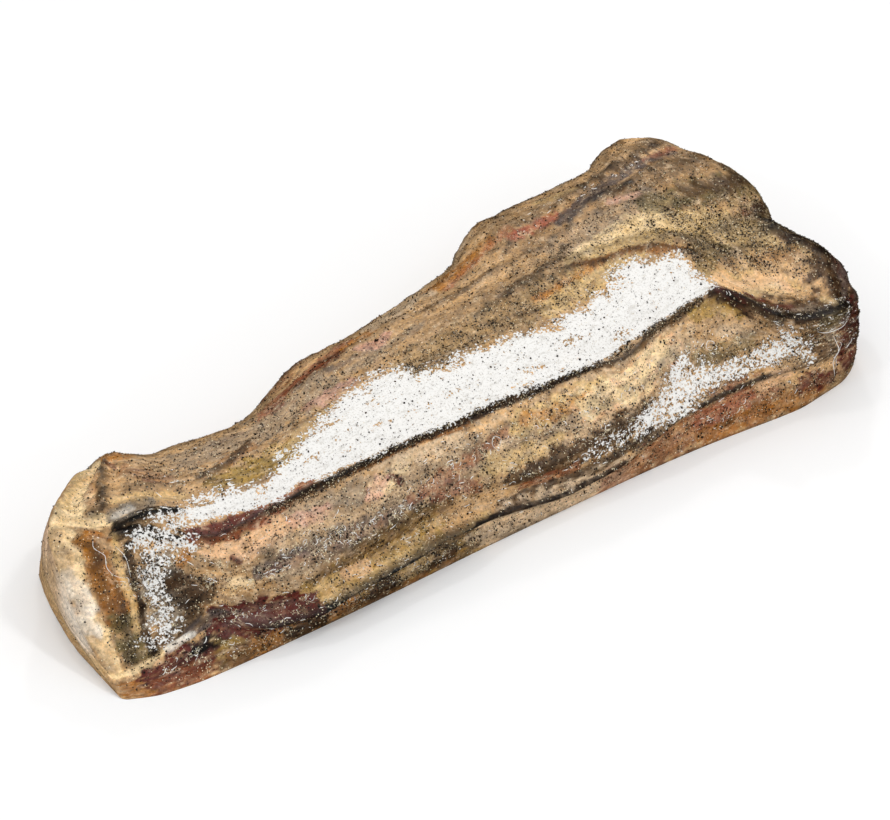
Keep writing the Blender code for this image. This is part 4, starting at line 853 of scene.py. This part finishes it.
def paintTone(grid, points, charted):
    tone = np.tile(np.array(linearColour(pigments["tan"])), points.shape[:2] + (1,))
    mottle = noiseField(grid["flow"], patchSizes["ground"], (5, 5, 5), 3)[..., None]
    tone = tone * (1 + 0.5 * mottle)
    grains = [noiseField(grid["flow"], patchSizes["stroke"], (turn, 3 * turn, 0), 3) for turn in range(6)]
    for turn, (pigment, strength, softness, path) in enumerate(strokes):
        mask = chartMask(charted, path, softness)
        grain = grains[turn % len(grains)] * min(1.0, path[0][2] / 4.0)
        mask = smoothStep(0.2, 0.75, mask + 1.9 * grain * np.sqrt(mask * (1 - mask)))
        cover = np.clip(strength * mask * np.clip(1 + 0.6 * grain, 0, 1.2), 0, 1)[..., None]
        tone = tone * (1 - cover) + np.array(linearColour(pigments[pigment])) * cover
    for way, table in ((-1, endStrokes), (1, broadEndStrokes)):
        onFace = smoothStep(0.0, 0.12, way * grid["cap"])
        for pigment, strength, softness, path in table:
            marks = np.array(path, float)
            mask = strokeMask(points[..., 1:], marks[:, :2], marks[:, 2], softness) * onFace
            cover = (strength * mask)[..., None]
            tone = tone * (1 - cover) + np.array(linearColour(pigments[pigment])) * cover
    # painted shade in the relief's hollows and painted light on its ridges
    tone = tone * paintedReliefShade(grid)[..., None]
    return tone / np.maximum(tone.max(-1, keepdims=True), 1)


def paintedReliefShade(grid):  # painted shade in the hollows and painted light on the ridges, from the relief against its smoothed self
    height = grid["height"]
    out = np.ones_like(height)
    for steps, gain in ((3, 0.50), (10, 0.16)):
        even = height.copy()
        for _ in range(steps * steps):
            even = (np.roll(even, 1, 1) + even * 2 + np.roll(even, -1, 1)) / 4
            even[1:-1] = (even[:-2] + even[1:-1] * 2 + even[2:]) / 4
        out *= np.clip(1 + gain * (height - even), 0.4, 1.1)
    return out


def bloomCover(grid, charted):  # 0.5 is the edge of the crust
    places = charted[0] + 0.55 * charted[1]
    along = places[..., 0]
    edgesAt = []
    for name in ("lowerEdge", "upperEdge"):
        table = np.array(bloom[name], float)
        place = girthAt(table[:, 0], shareOf(table[:, 0], table[:, 1])[:, None])[:, 0]
        edgesAt.append(np.interp(along, table[:, 0], place))
    lowFade, highFade = bloom["fade"]
    fromLow = (places[..., 1] - edgesAt[0]) / lowFade
    fromHigh = (edgesAt[1] - places[..., 1]) / highFade
    first = bloom["lowerEdge"][0][0]
    last = bloom["lowerEdge"][-1][0]
    fromEnds = np.minimum(along - first, last - along) / highFade
    inside = np.minimum(np.minimum(fromLow, fromHigh), fromEnds)
    cover = np.clip(0.5 + inside, 0, 1)
    cover *= 0.5 + 0.5 * smoothStep(50, 78, along)
    cover *= np.clip(0.92 + 0.5 * noiseField(grid["flow"], patchSizes["bloom"], (4, 4, 1), 3), 0.6, 1)
    for strength, path in bloom["patches"]:
        cover = np.maximum(cover, strength * chartMask(charted, path, 0.7))
    return cover * (1 - smoothStep(0, 0.05, np.abs(grid["cap"])))


# where the painted highlights of the skin's folds lie
def highlightFoldCover(grid, charted):
    cover = np.full(charted[0].shape[:2], 0.02)
    for strength, softness, path in highlightFoldStrokes:
        cover = np.maximum(cover, strength * chartMask(charted, path, softness))
    knots = 0.5 + 2.2 * noiseField(grid["flow"], patchSizes["film"], (6, 1, 2), 2)
    return cover ** 1.5 * np.clip(knots, 0.03, 2.5)


def pepperCover(grid, charted):
    cover = np.full(charted[0].shape[:2], 0.25)
    for strength, softness, path in pepperStrokes:
        cover = np.maximum(cover, strength * chartMask(charted, path, softness))
    clumps = 0.9 + 1.3 * noiseField(grid["flow"], patchSizes["pepper"], (2, 8, 4), 3)
    cover *= 0.3 + 0.7 * smoothStep(4, 12, grid["along"])     # little of it on the narrow end's face
    return cover * np.clip(clumps, 0.15, 2.0)


def meshFromGrid(name, rings):
    rows, columns = rings.shape[:2]
    index = np.arange(rows * columns).reshape(rows, columns)
    right = np.roll(index, -1, 1)
    quads = np.stack((index[:-1], index[1:], right[1:], right[:-1]), -1).reshape(-1, 4)
    hubs = np.array((rings[0].mean(0), rings[-1].mean(0)))
    vertices = np.concatenate((rings.reshape(-1, 3), hubs))
    fans = [(rows * columns, a, b) for a, b in zip(index[0], right[0])]
    fans += [(rows * columns + 1, b, a) for a, b in zip(index[-1], right[-1])]
    mesh = bpy.data.meshes.new(name)
    mesh.from_pydata((vertices * mm).tolist(), [], quads.tolist() + fans)
    mesh.update()
    return mesh


def addAttribute(mesh, name, values):  # grid values for every point, the two hubs take their ring's mean
    kind = "FLOAT" if values.ndim == 2 else "FLOAT_VECTOR"
    flat = values.reshape(values.shape[0] * values.shape[1], -1)
    flat = np.concatenate((flat, values[0].mean(0).reshape(1, -1), values[-1].mean(0).reshape(1, -1)))
    attribute = mesh.attributes.new(name, kind, "POINT")
    attribute.data.foreach_set("value" if kind == "FLOAT" else "vector", flat.astype(np.float32).ravel())


def linkPiece(name, mesh, material):
    piece = bpy.data.objects.new(name, mesh)
    bpy.context.scene.collection.objects.link(piece)
    mesh.materials.append(material)
    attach(piece, "root")
    return piece


def addNode(tree, kind, inputs=None, **settings):  # one node with its settings, values and links
    node = tree.nodes.new(kind)
    for name, value in settings.items():
        setattr(node, name, value)
    for socket, value in (inputs or {}).items():
        if isinstance(value, bpy.types.NodeSocket):
            tree.links.new(value, node.inputs[socket])
        else:
            node.inputs[socket].default_value = value
    return node


def setSockets(shader, values):
    for socket, value in values.items():
        shader.inputs[socket].default_value = value


def newMaterial(name):
    material = bpy.data.materials.new(name)
    material.use_nodes = True
    tree = material.node_tree
    return material, tree, tree.nodes["Principled BSDF"]


# Sizes of the surface's own pattern, in millimetres
cure = {
    "strand": (7.0, 2.2, 2.2),      # strands of fat and lean along the piece
    "blotch": (8.0, 5.0, 5.0),
    "grain": 1.6,                   # pits and crumbs of the dried skin
    "dust": (1.7, 1.05),            # ground pepper, drawn coarser than it is, so that it shows
    "paintedGlint": 1.1,                   # painted glints, drawn coarser for the same reason
    "wrinkle": 2.1,                 # folds of the moist skin
    "fold": 3.4,                    # painted highlights, as winding whitish lines of the clear skin's folds
    "powder": 0.95,                 # crumbs of the bloom, coarser than the real powder
    "clump": 3.2,
}
cureColours = {
    "smoke": "4a3828", "fat": "e2c5a0", "lean": "7a4632", "pit": "17100b", "paintedGlint": "f4e6c0",
    "crustShade": "b6b1a8", "crust": "efeeeb",
}


def dryCuredBelly():
    # Dry cured pork belly: air dried, so its fat is waxy and its lean dark, moist enough to glint.
    # Mould bloom lies on it as a dry white powder.
    material, tree, shader = newMaterial("dry_cured_belly")
    tone = addNode(tree, "ShaderNodeAttribute", attribute_name="tone").outputs["Color"]
    flow = addNode(tree, "ShaderNodeAttribute", attribute_name="flow").outputs["Vector"]
    bloomAt = addNode(tree, "ShaderNodeAttribute", attribute_name="bloomCover").outputs["Fac"]
    dustAt = addNode(tree, "ShaderNodeAttribute", attribute_name="pepperCover").outputs["Fac"]
    solid = addNode(tree, "ShaderNodeTexCoord").outputs["Object"]
    paint = {name: (*linearColour(code), 1) for name, code in cureColours.items()}

    def scaled(size, shift):
        if isinstance(size, tuple):
            inputs = {"Vector": flow, "Scale": [1 / s for s in size], "Location": (shift, 0, 0)}
        else:
            inputs = {"Vector": solid, "Scale": [1 / (size * mm)] * 3, "Location": (shift, 0, 0)}
        return addNode(tree, "ShaderNodeMapping", inputs).outputs[0]

    def pattern(size, detail, rough, shift=0.0):
        inputs = {"Vector": scaled(size, shift), "Scale": 1.0, "Detail": detail, "Roughness": rough}
        return addNode(tree, "ShaderNodeTexNoise", inputs).outputs["Fac"]

    def spread(value, low, high, toLow=0.0, toHigh=1.0, kind="LINEAR"):
        inputs = {"Value": value, "From Min": low, "From Max": high, "To Min": toLow, "To Max": toHigh}
        return addNode(tree, "ShaderNodeMapRange", inputs, interpolation_type=kind).outputs["Result"]

    def sums(operation, first, second):
        return addNode(tree, "ShaderNodeMath", {0: first, 1: second}, operation=operation).outputs[0]

    def blend(factor, first, second):
        inputs = {"Factor": factor, "A": first, "B": second}
        return addNode(tree, "ShaderNodeMix", inputs, data_type="RGBA").outputs["Result"]

    def specks(size, chance, reach, shift=0.0):  # round specks in some of the cells of a pattern
        cells = addNode(tree, "ShaderNodeTexVoronoi", {"Vector": scaled(size, shift), "Scale": 1.0})
        drawn = addNode(tree, "ShaderNodeSeparateColor", {"Color": cells.outputs["Color"]}).outputs[0]
        disc = spread(cells.outputs["Distance"], reach, reach * 0.6)
        return sums("MULTIPLY", disc, sums("LESS_THAN", drawn, chance))

    strand = pattern(cure["strand"], 5.0, 0.62)
    grain = pattern(cure["grain"], 4.0, 0.65, 3.0)
    blotch = pattern(cure["blotch"], 7.0, 0.74, 4.0)
    otherBlotch = pattern(cure["blotch"], 7.0, 0.74, 40.0)
    wrinkle = pattern(cure["wrinkle"], 3.0, 0.5, 9.0)
    powder = pattern(cure["powder"], 2.0, 0.6, 2.0)
    clump = pattern(cure["clump"], 4.0, 0.62, 6.0)
    # smoke, fat and lean mixed through the painted ground, as blotches, but little in the dark creases
    pale = addNode(tree, "ShaderNodeRGBToBW", {"Color": tone}).outputs[0]
    pale = spread(pale, 0.015, 0.13)
    ground = blend(sums("MULTIPLY", spread(blotch, 0.54, 0.68, 0.0, 0.66), pale), tone, paint["smoke"])
    ground = blend(sums("MULTIPLY", spread(blotch, 0.46, 0.35, 0.0, 0.60), pale), ground, paint["fat"])
    ground = blend(sums("MULTIPLY", spread(otherBlotch, 0.58, 0.70, 0.0, 0.46), pale), ground, paint["lean"])
    light = sums("MULTIPLY", spread(strand, 0.35, 0.65, 0.92, 1.22), spread(grain, 0.34, 0.66, 0.70, 1.24))
    light = sums("MULTIPLY", light, spread(dustAt, 0.2, 1.3, 1.0, 0.78))
    inputs = {"Color": ground, "Value": light, "Saturation": spread(otherBlotch, 0.3, 0.7, 0.88, 1.14)}
    ground = addNode(tree, "ShaderNodeHueSaturation", inputs).outputs["Color"]
    # ground pepper in two sizes, and painted glints: pale specks where the moist skin would glint
    coarseDust, fineDust = cure["dust"]
    ground = blend(specks(coarseDust, sums("MULTIPLY", dustAt, 0.30), 0.42), ground, paint["pit"])
    ground = blend(specks(fineDust, sums("MULTIPLY", dustAt, 0.42), 0.45, 7.0), ground, paint["pit"])
    glints = sums("MULTIPLY", sums("ADD", dustAt, 0.4), 0.13)
    ground = blend(specks(cure["paintedGlint"], glints, 0.34, 3.0), ground, paint["paintedGlint"])
    # painted highlights: the clear skin's fine folds as winding broken whitish lines, in the glint colour
    foldAt = addNode(tree, "ShaderNodeAttribute", attribute_name="highlightFoldCover").outputs["Fac"]
    winding = sums("ABSOLUTE", sums("SUBTRACT", pattern(cure["fold"], 2.0, 0.6, 12.0), 0.5), 0.0)
    broken = sums("SUBTRACT", wrinkle, 0.35)
    whole = spread(sums("SUBTRACT", sums("MULTIPLY", foldAt, 0.5), broken), 0.0, 0.06)
    ground = blend(sums("MULTIPLY", spread(winding, 0.024, 0.008, 0.0, 0.6), whole), ground, paint["paintedGlint"])
    # bloom: specks of powder, thick where the cover is high and strewn where it is low
    strewn = addNode(tree, "ShaderNodeTexVoronoi", {"Vector": scaled(cure["powder"], 5.0), "Scale": 1.0})
    drawn = addNode(tree, "ShaderNodeSeparateColor", {"Color": strewn.outputs["Color"]}).outputs[0]
    threshold = sums("ADD", sums("MULTIPLY", drawn, 0.55), spread(clump, 0.3, 0.7, 0.0, 0.42))
    crust = spread(sums("SUBTRACT", bloomAt, threshold), -0.04, 0.06, kind="SMOOTHSTEP")
    crust = sums("MULTIPLY", crust, spread(bloomAt, 0.02, 0.12))
    worn = sums("MULTIPLY", spread(powder, 0.32, 0.48, 0.45, 1.0), spread(strand, 0.32, 0.46, 0.55, 1.0))
    chalk = blend(worn, paint["crustShade"], paint["crust"])
    tree.links.new(blend(sums("MULTIPLY", crust, 0.97), ground, chalk), shader.inputs["Base Color"])
    bare = sums("SUBTRACT", 1.0, crust)
    tree.links.new(spread(crust, 0, 1, 0.42, 0.92), shader.inputs["Roughness"])
    setSockets(shader, {"IOR": 1.45, "Specular IOR Level": 0.4, "Coat Roughness": 0.10, "Coat IOR": 1.5})
    tree.links.new(sums("MULTIPLY", bare, spread(blotch, 0.35, 0.6, 0.5, 1.0)), shader.inputs["Coat Weight"])
    body = sums("MULTIPLY", sums("ADD", strand, grain), sums("ADD", sums("MULTIPLY", bare, 0.55), 0.15))
    body = sums("ADD", body, sums("MULTIPLY", powder, sums("MULTIPLY", crust, 0.5)))
    bump = addNode(tree, "ShaderNodeBump", {"Height": body, "Distance": 0.5 * mm, "Strength": 1.0})
    tree.links.new(bump.outputs[0], shader.inputs["Normal"])
    moist = sums("ADD", wrinkle, sums("MULTIPLY", grain, 0.3))
    skin = addNode(tree, "ShaderNodeBump", {"Height": moist, "Distance": 1.2 * mm, "Strength": 1.0})
    tree.links.new(skin.outputs[0], shader.inputs["Coat Normal"])
    return material


def highlightFoldMaterial():
    # Clear skin of dried brine and fat, drawn into fine folds, coloured near white as painted highlights:
    # whitish lines where the lamps would glint.
    material, tree, shader = newMaterial("white_fold_painted_highlight")
    setSockets(shader, {"Base Color": (*linearColour("fffdf8"), 1), "Roughness": 0.2, "IOR": 1.45,
                        "Coat Weight": 1.0, "Coat Roughness": 0.05})
    return material


def pepperMaterial(name, dark, pale):
    # Cracked black pepper: dried berries, split to matt dark husk with a little oil. The pale kind is their
    # cores, its whitest tints painted glints.
    material, tree, shader = newMaterial(name)
    shade = addNode(tree, "ShaderNodeAttribute", attribute_name="shade").outputs["Fac"]
    inputs = {"Factor": shade, "A": (*linearColour(dark), 1), "B": (*linearColour(pale), 1)}
    colour = addNode(tree, "ShaderNodeMix", inputs, data_type="RGBA")
    tree.links.new(colour.outputs["Result"], shader.inputs["Base Color"])
    setSockets(shader, {"Roughness": 0.5, "Specular IOR Level": 0.3})
    setSockets(shader, {"Coat Weight": 0.2, "Coat Roughness": 0.15})
    return material


pepper = {
    "coarse": {"count": 3400, "width": (0.75, 1.7), "sunk": 0.36, "seed": 11, "tints": ("1a110a", "4a3420")},
    "middle": {"count": 9000, "width": (0.6, 1.2), "sunk": 0.32, "seed": 14, "tints": ("1a110a", "4a3420")},
    "fine": {"count": 15000, "width": (0.4, 0.85), "sunk": 0.2, "seed": 12, "tints": ("1f150c", "5a4228")},
    # pale grains: cracked pepper cores, the whitest of them painted glints
    "paleCoreAndGlint": {"count": 7000, "width": (0.4, 0.8), "sunk": 0.2, "seed": 13, "tints": ("c9b48a", "f5ead2")},
    "onBloom": 0.16,               # how likely pepper is on the thick bloom
    "lowest": 3.0,                 # none nearer the floor
    "undercut": -0.35,             # none on a surface that faces down more than this
}
octahedron = (
    np.array(((1, 0, 0), (-1, 0, 0), (0, 1, 0), (0, -1, 0), (0, 0, 1), (0, 0, -1)), float),
    np.array(((0, 2, 4), (2, 1, 4), (1, 3, 4), (3, 0, 4), (2, 0, 5), (1, 2, 5), (3, 1, 5), (0, 3, 5))),
)


def icosahedron():
    golden = (1 + 5 ** 0.5) / 2
    corners = []
    for a in (-1, 1):
        for b in (-golden, golden):
            corners += [(0, a, b), (a, b, 0), (b, 0, a)]
    corners = np.array(corners) / math.hypot(1, golden)
    faces = []
    for i in range(12):
        for j in range(i + 1, 12):
            for k in range(j + 1, 12):
                trio = corners[[i, j, k]]
                sides = [np.linalg.norm(trio[m] - trio[m - 1]) for m in range(3)]
                if max(sides) < 1.1:
                    outside = np.dot(np.cross(trio[1] - trio[0], trio[2] - trio[0]), trio.sum(0)) > 0
                    faces.append((i, j, k) if outside else (i, k, j))
    return corners, np.array(faces)


def turnsFor(draw, count):  # random rotations from quaternions
    q = draw.normal(size=(count, 4))
    q /= np.linalg.norm(q, axis=1, keepdims=True)
    w, x, y, z = q.T
    rows = ((1 - 2 * (y * y + z * z), 2 * (x * y - z * w), 2 * (x * z + y * w)),
            (2 * (x * y + z * w), 1 - 2 * (x * x + z * z), 2 * (y * z - x * w)),
            (2 * (x * z - y * w), 2 * (y * z + x * w), 1 - 2 * (x * x + y * y)))
    return np.array(rows).transpose(2, 0, 1)


def scatterGrains(name, kind, rings, weights, material):
    draw = np.random.default_rng(kind["seed"])
    rows, columns = rings.shape[:2]
    a = rings[:-1]
    b = np.roll(rings, -1, 1)[:-1]
    c = rings[1:]
    normal = np.cross(c - a, b - a)
    area = np.linalg.norm(normal, axis=-1)
    normal = normal / np.maximum(area, 1e-9)[..., None]
    chance = area * weights[:-1] * (normal[..., 2] > pepper["undercut"]) * (a[..., 2] > pepper["lowest"])
    picked = draw.choice(chance.size, kind["count"], p=(chance / chance.sum()).ravel())
    part = draw.random((kind["count"], 2))
    i, j = np.unravel_index(picked, chance.shape)
    place = a[i, j] + part[:, :1] * (b - a)[i, j] + part[:, 1:] * (c - a)[i, j]
    width = kind["width"][0] + (kind["width"][1] - kind["width"][0]) * draw.random(kind["count"]) ** 2
    corners, faces = icosahedron() if name.endswith("coarse") else octahedron
    sides = len(corners)
    squeeze = draw.uniform((0.7, 0.6, 0.5), (1.15, 1.0, 0.9), (kind["count"], 3))
    dents = draw.uniform(0.78, 1.15, (kind["count"], sides, 1))
    shape = corners[None] * dents * squeeze[:, None] * width[:, None, None] / 2
    shape = np.einsum("nij,nkj->nki", turnsFor(draw, kind["count"]), shape)
    shape += (place + normal[i, j] * (width * (0.5 - kind["sunk"]))[:, None])[:, None]
    mesh = bpy.data.meshes.new(name)
    every = (faces[None] + sides * np.arange(kind["count"])[:, None, None]).reshape(-1, 3)
    mesh.from_pydata((shape.reshape(-1, 3) * mm).tolist(), [], every.tolist())
    shade = mesh.attributes.new("shade", "FLOAT", "POINT")
    shade.data.foreach_set("value", np.repeat(draw.random(kind["count"]) ** 2, sides).astype(np.float32))
    return linkPiece(name, mesh, material)


# raised folds of the clear skin, near white: painted highlights
film = {
    "count": 900,
    "steps": 6,                     # points of one fold
    "stride": (0.12, 0.85),
    "width": (0.28, 0.75),
    "height": 0.30,
    "foot": 0.12,                   # how deep its edges are sunk
    "turn": 0.6,                    # how much a fold winds
    "seed": 21,
    "pleatStride": 0.8,
    # longer pleats: width in mm, then (along, band) points
    "pleats": (
        (0.8, ((436, 1.70), (441, 1.60), (447, 1.52), (454, 1.48), (460, 1.55), (464, 1.66))),
        (0.7, ((449, 1.42), (451, 1.2), (452, 1.0), (451, 0.7), (452, 0.35))),
        (0.6, ((456, 1.1), (457, 0.8), (455, 0.5))),
        (0.5, ((18, 1.97), (17, 1.86), (20, 1.78), (19, 1.70), (22, 1.62), (25, 1.60))),
        (0.5, ((25, 1.86), (28, 1.74), (27, 1.6))),
        (0.5, ((230, 1.62), (234, 1.70), (231, 1.74), (228, 1.68), (230, 1.62))),
        (0.5, ((373, 1.5), (377, 1.56), (374, 1.6), (371, 1.55), (373, 1.5))),
    ),
}


def pointOn(rings, row, column):  # place on the grid, between its points
    i = np.clip(np.floor(row).astype(int), 0, rings.shape[0] - 2)
    j = np.floor(column).astype(int) % rings.shape[1]
    u = (row - i)[:, None]
    v = (column - np.floor(column))[:, None]
    k = (j + 1) % rings.shape[1]
    near = rings[i, j] * (1 - v) + rings[i, k] * v
    far = rings[i + 1, j] * (1 - v) + rings[i + 1, k] * v
    right = rings[i, k] - rings[i, j]
    ahead = rings[i + 1, j] - rings[i, j]
    return near * (1 - u) + far * u, ahead, right


def walkFolds(rings, weights):  # short winding paths in grid rows and columns
    draw = np.random.default_rng(film["seed"])
    normal = np.cross(np.roll(rings, -1, 1)[:-1] - rings[:-1], rings[1:] - rings[:-1])
    chance = np.linalg.norm(normal, axis=-1) * weights[:-1] * (rings[:-1, :, 2] > pepper["lowest"])
    picked = draw.choice(chance.size, film["count"], p=(chance / chance.sum()).ravel())
    row, column = [axis.astype(float) for axis in np.unravel_index(picked, chance.shape)]
    low, high = film["stride"]
    stride = low + (high - low) * draw.random(film["count"]) ** 2.5
    heading = draw.normal(0, 0.5, film["count"])
    bend = draw.normal(0, film["turn"], film["count"])
    paths = []
    for step in range(film["steps"]):
        paths.append((row.copy(), column.copy()))
        place, ahead, right = pointOn(rings, row, column)
        row += stride * np.cos(heading) / (np.linalg.norm(ahead, axis=1) + 1e-3)
        column -= stride * np.sin(heading) / (np.linalg.norm(right, axis=1) + 1e-3)
        bend = 0.75 * bend + draw.normal(0, film["turn"], film["count"]) * 0.8
        heading += bend * 0.5
    paths = np.array(paths)
    return paths[:, 0].T, paths[:, 1].T, draw.uniform(*film["width"], film["count"])


def pleatPath(grid, path):  # a named pleat as grid rows and columns
    marks = np.array(path, float)
    reach = np.concatenate(([0], np.cumsum(np.hypot(np.diff(marks[:, 0]), 40 * np.diff(marks[:, 1])))))
    places = np.linspace(0, reach[-1], max(6, int(reach[-1] / film["pleatStride"])))
    along = smoothLine(np.stack((reach, marks[:, 0]), 1), places)
    band = smoothLine(np.stack((reach, marks[:, 1]), 1), places)
    rows = np.interp(along, grid["along"][slab["capRings"]:-slab["capRings"], 0],
                     np.arange(slab["capRings"], len(grid["along"]) - slab["capRings"]))
    near = np.clip(np.round(rows).astype(int), 0, len(grid["along"]) - 1)
    every = np.arange(grid["band"].shape[1])
    columns = np.array([np.interp(b, grid["band"][r], every) for b, r in zip(band, near)])
    return rows[None], columns[None]


def foldTubes(rings, rows, columns, widths):  # three sided ridges that stand a little off the surface
    steps = rows.shape[1]
    places = np.stack([pointOn(rings, rows[:, s], columns[:, s])[0] for s in range(steps)], 1)
    spans = [pointOn(rings, rows[:, s], columns[:, s])[1:] for s in range(steps)]
    up = np.stack([np.cross(ahead, right) for ahead, right in spans], 1)
    up /= np.linalg.norm(up, axis=-1, keepdims=True) + 1e-9
    way = np.gradient(places, axis=1)
    across = np.cross(up, way)
    across /= np.linalg.norm(across, axis=-1, keepdims=True) + 1e-9
    taper = (np.sin(math.pi * (np.arange(steps) + 0.6) / (steps + 0.2)) ** 0.6)[None, :, None]
    half = widths[:, None, None] * taper / 2
    foot = places - up * film["foot"]
    tubes = np.stack((foot + across * half, places + up * film["height"] * taper, foot - across * half), 2)
    start = np.arange(len(rows))[:, None, None] * steps * 3
    step = np.arange(steps - 1)[None, :, None] * 3
    faces = []
    for corner in range(3):
        after = (corner + 1) % 3
        faces += (start + step + np.array((after, 3 + after, 3 + corner, corner))).reshape(-1, 4).tolist()
    last = (steps - 1) * 3
    faces += (start[:, 0] + np.array((2, 1, 0))).tolist()
    faces += (start[:, 0] + last + np.array((0, 1, 2))).tolist()
    return tubes.reshape(-1, 3), faces


def foldPiece(name, tubes, material):
    points = []
    faces = []
    for some, sides in tubes:
        count = sum(len(p) for p in points)
        points.append(some)
        faces += [[corner + count for corner in side] for side in sides]
    mesh = bpy.data.meshes.new(name)
    mesh.from_pydata((np.concatenate(points) * mm).tolist(), [], faces)
    mesh.shade_smooth()
    return linkPiece(name, mesh, material)


# The lamps are small, so that the moist skin glints
studioLights = {
    "room": 0.86,
    "floorReach": 4.0,                           # metres from the middle to each edge
    "lamps": (                                   # name, place and size in metres, watts
        ("back", (0.73, 1.24, 1.30), (0.12, 0.12), 2.6),
        ("top", (0.40, -0.25, 1.20), (0.12, 0.12), 1.8),
        ("front", (0.45, -1.00, 0.62), (0.10, 0.10), 1.2),
        ("left", (-0.90, -0.20, 0.90), (0.10, 0.10), 1.2),
        ("high", (-0.15, 0.50, 1.50), (0.12, 0.12), 1.5),
    ),
}


def mattPaper():
    # Backdrop paper: uncoated, so nearly white and matt, with hardly a shine.
    material, tree, shader = newMaterial("matt_white_paper")
    setSockets(shader, {"Base Color": (*linearColour("f7f7f7"), 1)})
    setSockets(shader, {"Roughness": 0.9, "Specular IOR Level": 0.1})
    return material


def studio():
    floorMesh = bpy.data.meshes.new("floor")
    reach = studioLights["floorReach"]
    corners = [(-reach, -reach, 0), (reach, -reach, 0), (reach, reach, 0), (-reach, reach, 0)]
    floorMesh.from_pydata(corners, [], [(0, 1, 2, 3)])
    floorMesh.materials.append(mattPaper())
    floor = bpy.data.objects.new("floor", floorMesh)
    bpy.context.scene.collection.objects.link(floor)
    floor.visible_glossy = False                # no white veil of it on the moist sides
    world = bpy.data.worlds.new("white_room")
    world.use_nodes = True
    air = {"Color": (*linearColour("ffffff"), 1), "Strength": studioLights["room"]}
    setSockets(world.node_tree.nodes["Background"], air)
    world.cycles_visibility.glossy = False      # the room fills shadows but doesn't veil the gloss
    bpy.context.scene.world = world
    for name, place, size, watts in studioLights["lamps"]:
        light = bpy.data.lights.new(name, "AREA")
        light.shape = "RECTANGLE"
        light.size, light.size_y = size
        light.energy = watts
        lamp = bpy.data.objects.new(name, light)
        lamp.location = place
        lamp.rotation_euler = (-Vector(place)).to_track_quat("-Z", "Y").to_euler()
        bpy.context.scene.collection.objects.link(lamp)


view = {
    "elevation": 42.0,
    "azimuth": -30.48,
    "distance": 1.3,
    "lens": 93.07,
    "target": (0.0108, 0.0024, 0.0),
}


def photoCamera():
    camera = bpy.data.cameras.new("camera")
    camera.lens = view["lens"]
    camera.sensor_width = 36.0
    holder = bpy.data.objects.new("camera", camera)
    turn = math.radians(view["azimuth"])
    rise = math.radians(view["elevation"])
    back = Vector((math.sin(turn) * math.cos(rise), -math.cos(turn) * math.cos(rise), math.sin(rise)))
    holder.location = Vector(view["target"]) + back * view["distance"]
    holder.rotation_euler = back.to_track_quat("Z", "Y").to_euler()
    bpy.context.scene.collection.objects.link(holder)
    bpy.context.scene.camera = holder


grid, points, height, offFloor = slabGrid()
charted = wander(grid)
crusted = smoothStep(0.4, 0.62, bloomCover(grid, charted))
height += ridgeRelief(charted, wrinkles)
nearGap = np.exp(-((grid["band"] - 1.0) / 0.09) ** 2)
for name in ("fibre", "dimple", "grit"):
    scale, amount = relief[name]
    fine = amount * noiseField(grid["flow"], scale, (1.5, 2.5, 3.5))
    height += fine * (1 - 0.5 * crusted) * (1 - 0.8 * nearGap)
height += bloom["thick"] * crusted
grid["height"] = height
points = points + outward(points) * (height * offFloor)[..., None]
points[..., 2] = np.maximum(points[..., 2], 0.0)
grid, rings = addCaps(grid, points)
print("slab relief")
charted = wander(grid)
cover = bloomCover(grid, charted)
tone = paintTone(grid, rings, charted)
peppered = pepperCover(grid, charted)
print("pigments laid on")
rings = rings + np.array(slab["toFrame"])
bodyMesh = meshFromGrid("slab_of_belly", rings)
highlightFoldWeights = highlightFoldCover(grid, charted) * (1 - smoothStep(0.3, 0.5, cover))
highlightFoldWeights = highlightFoldWeights * (1 - smoothStep(0, 0.05, np.abs(grid["cap"])))
finish = {"tone": tone, "flow": grid["flow"], "bloomCover": cover}
finish.update({"pepperCover": peppered, "highlightFoldCover": highlightFoldWeights})
for name, values in finish.items():
    addAttribute(bodyMesh, name, values)
bodyMesh.shade_smooth()
body = linkPiece("slab_of_belly", bodyMesh, dryCuredBelly())
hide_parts("pancetta")
print("slab meshed", len(bodyMesh.polygons))
thick = smoothStep(0.4, 0.7, cover)
weights = peppered * (1 - thick) + pepper["onBloom"] * thick
for kindName in ("coarse", "middle", "fine", "paleCoreAndGlint"):
    kind = pepper[kindName]
    name = "pepper_" + kindName
    scatterGrains(name, kind, rings, weights, pepperMaterial(name, *kind["tints"]))
print("pepper scattered")
fold = highlightFoldMaterial()
foldPiece("wet_folds_painted_highlight", [foldTubes(rings, *walkFolds(rings, highlightFoldWeights))], fold)
pleats = [foldTubes(rings, *pleatPath(grid, path), np.array([width])) for width, path in film["pleats"]]
foldPiece("skin_pleats_painted_highlight", pleats, fold)
print("wet folds drawn")
studio()
photoCamera()
bpy.context.scene.view_settings.view_transform = "Standard"
print("studio lit")
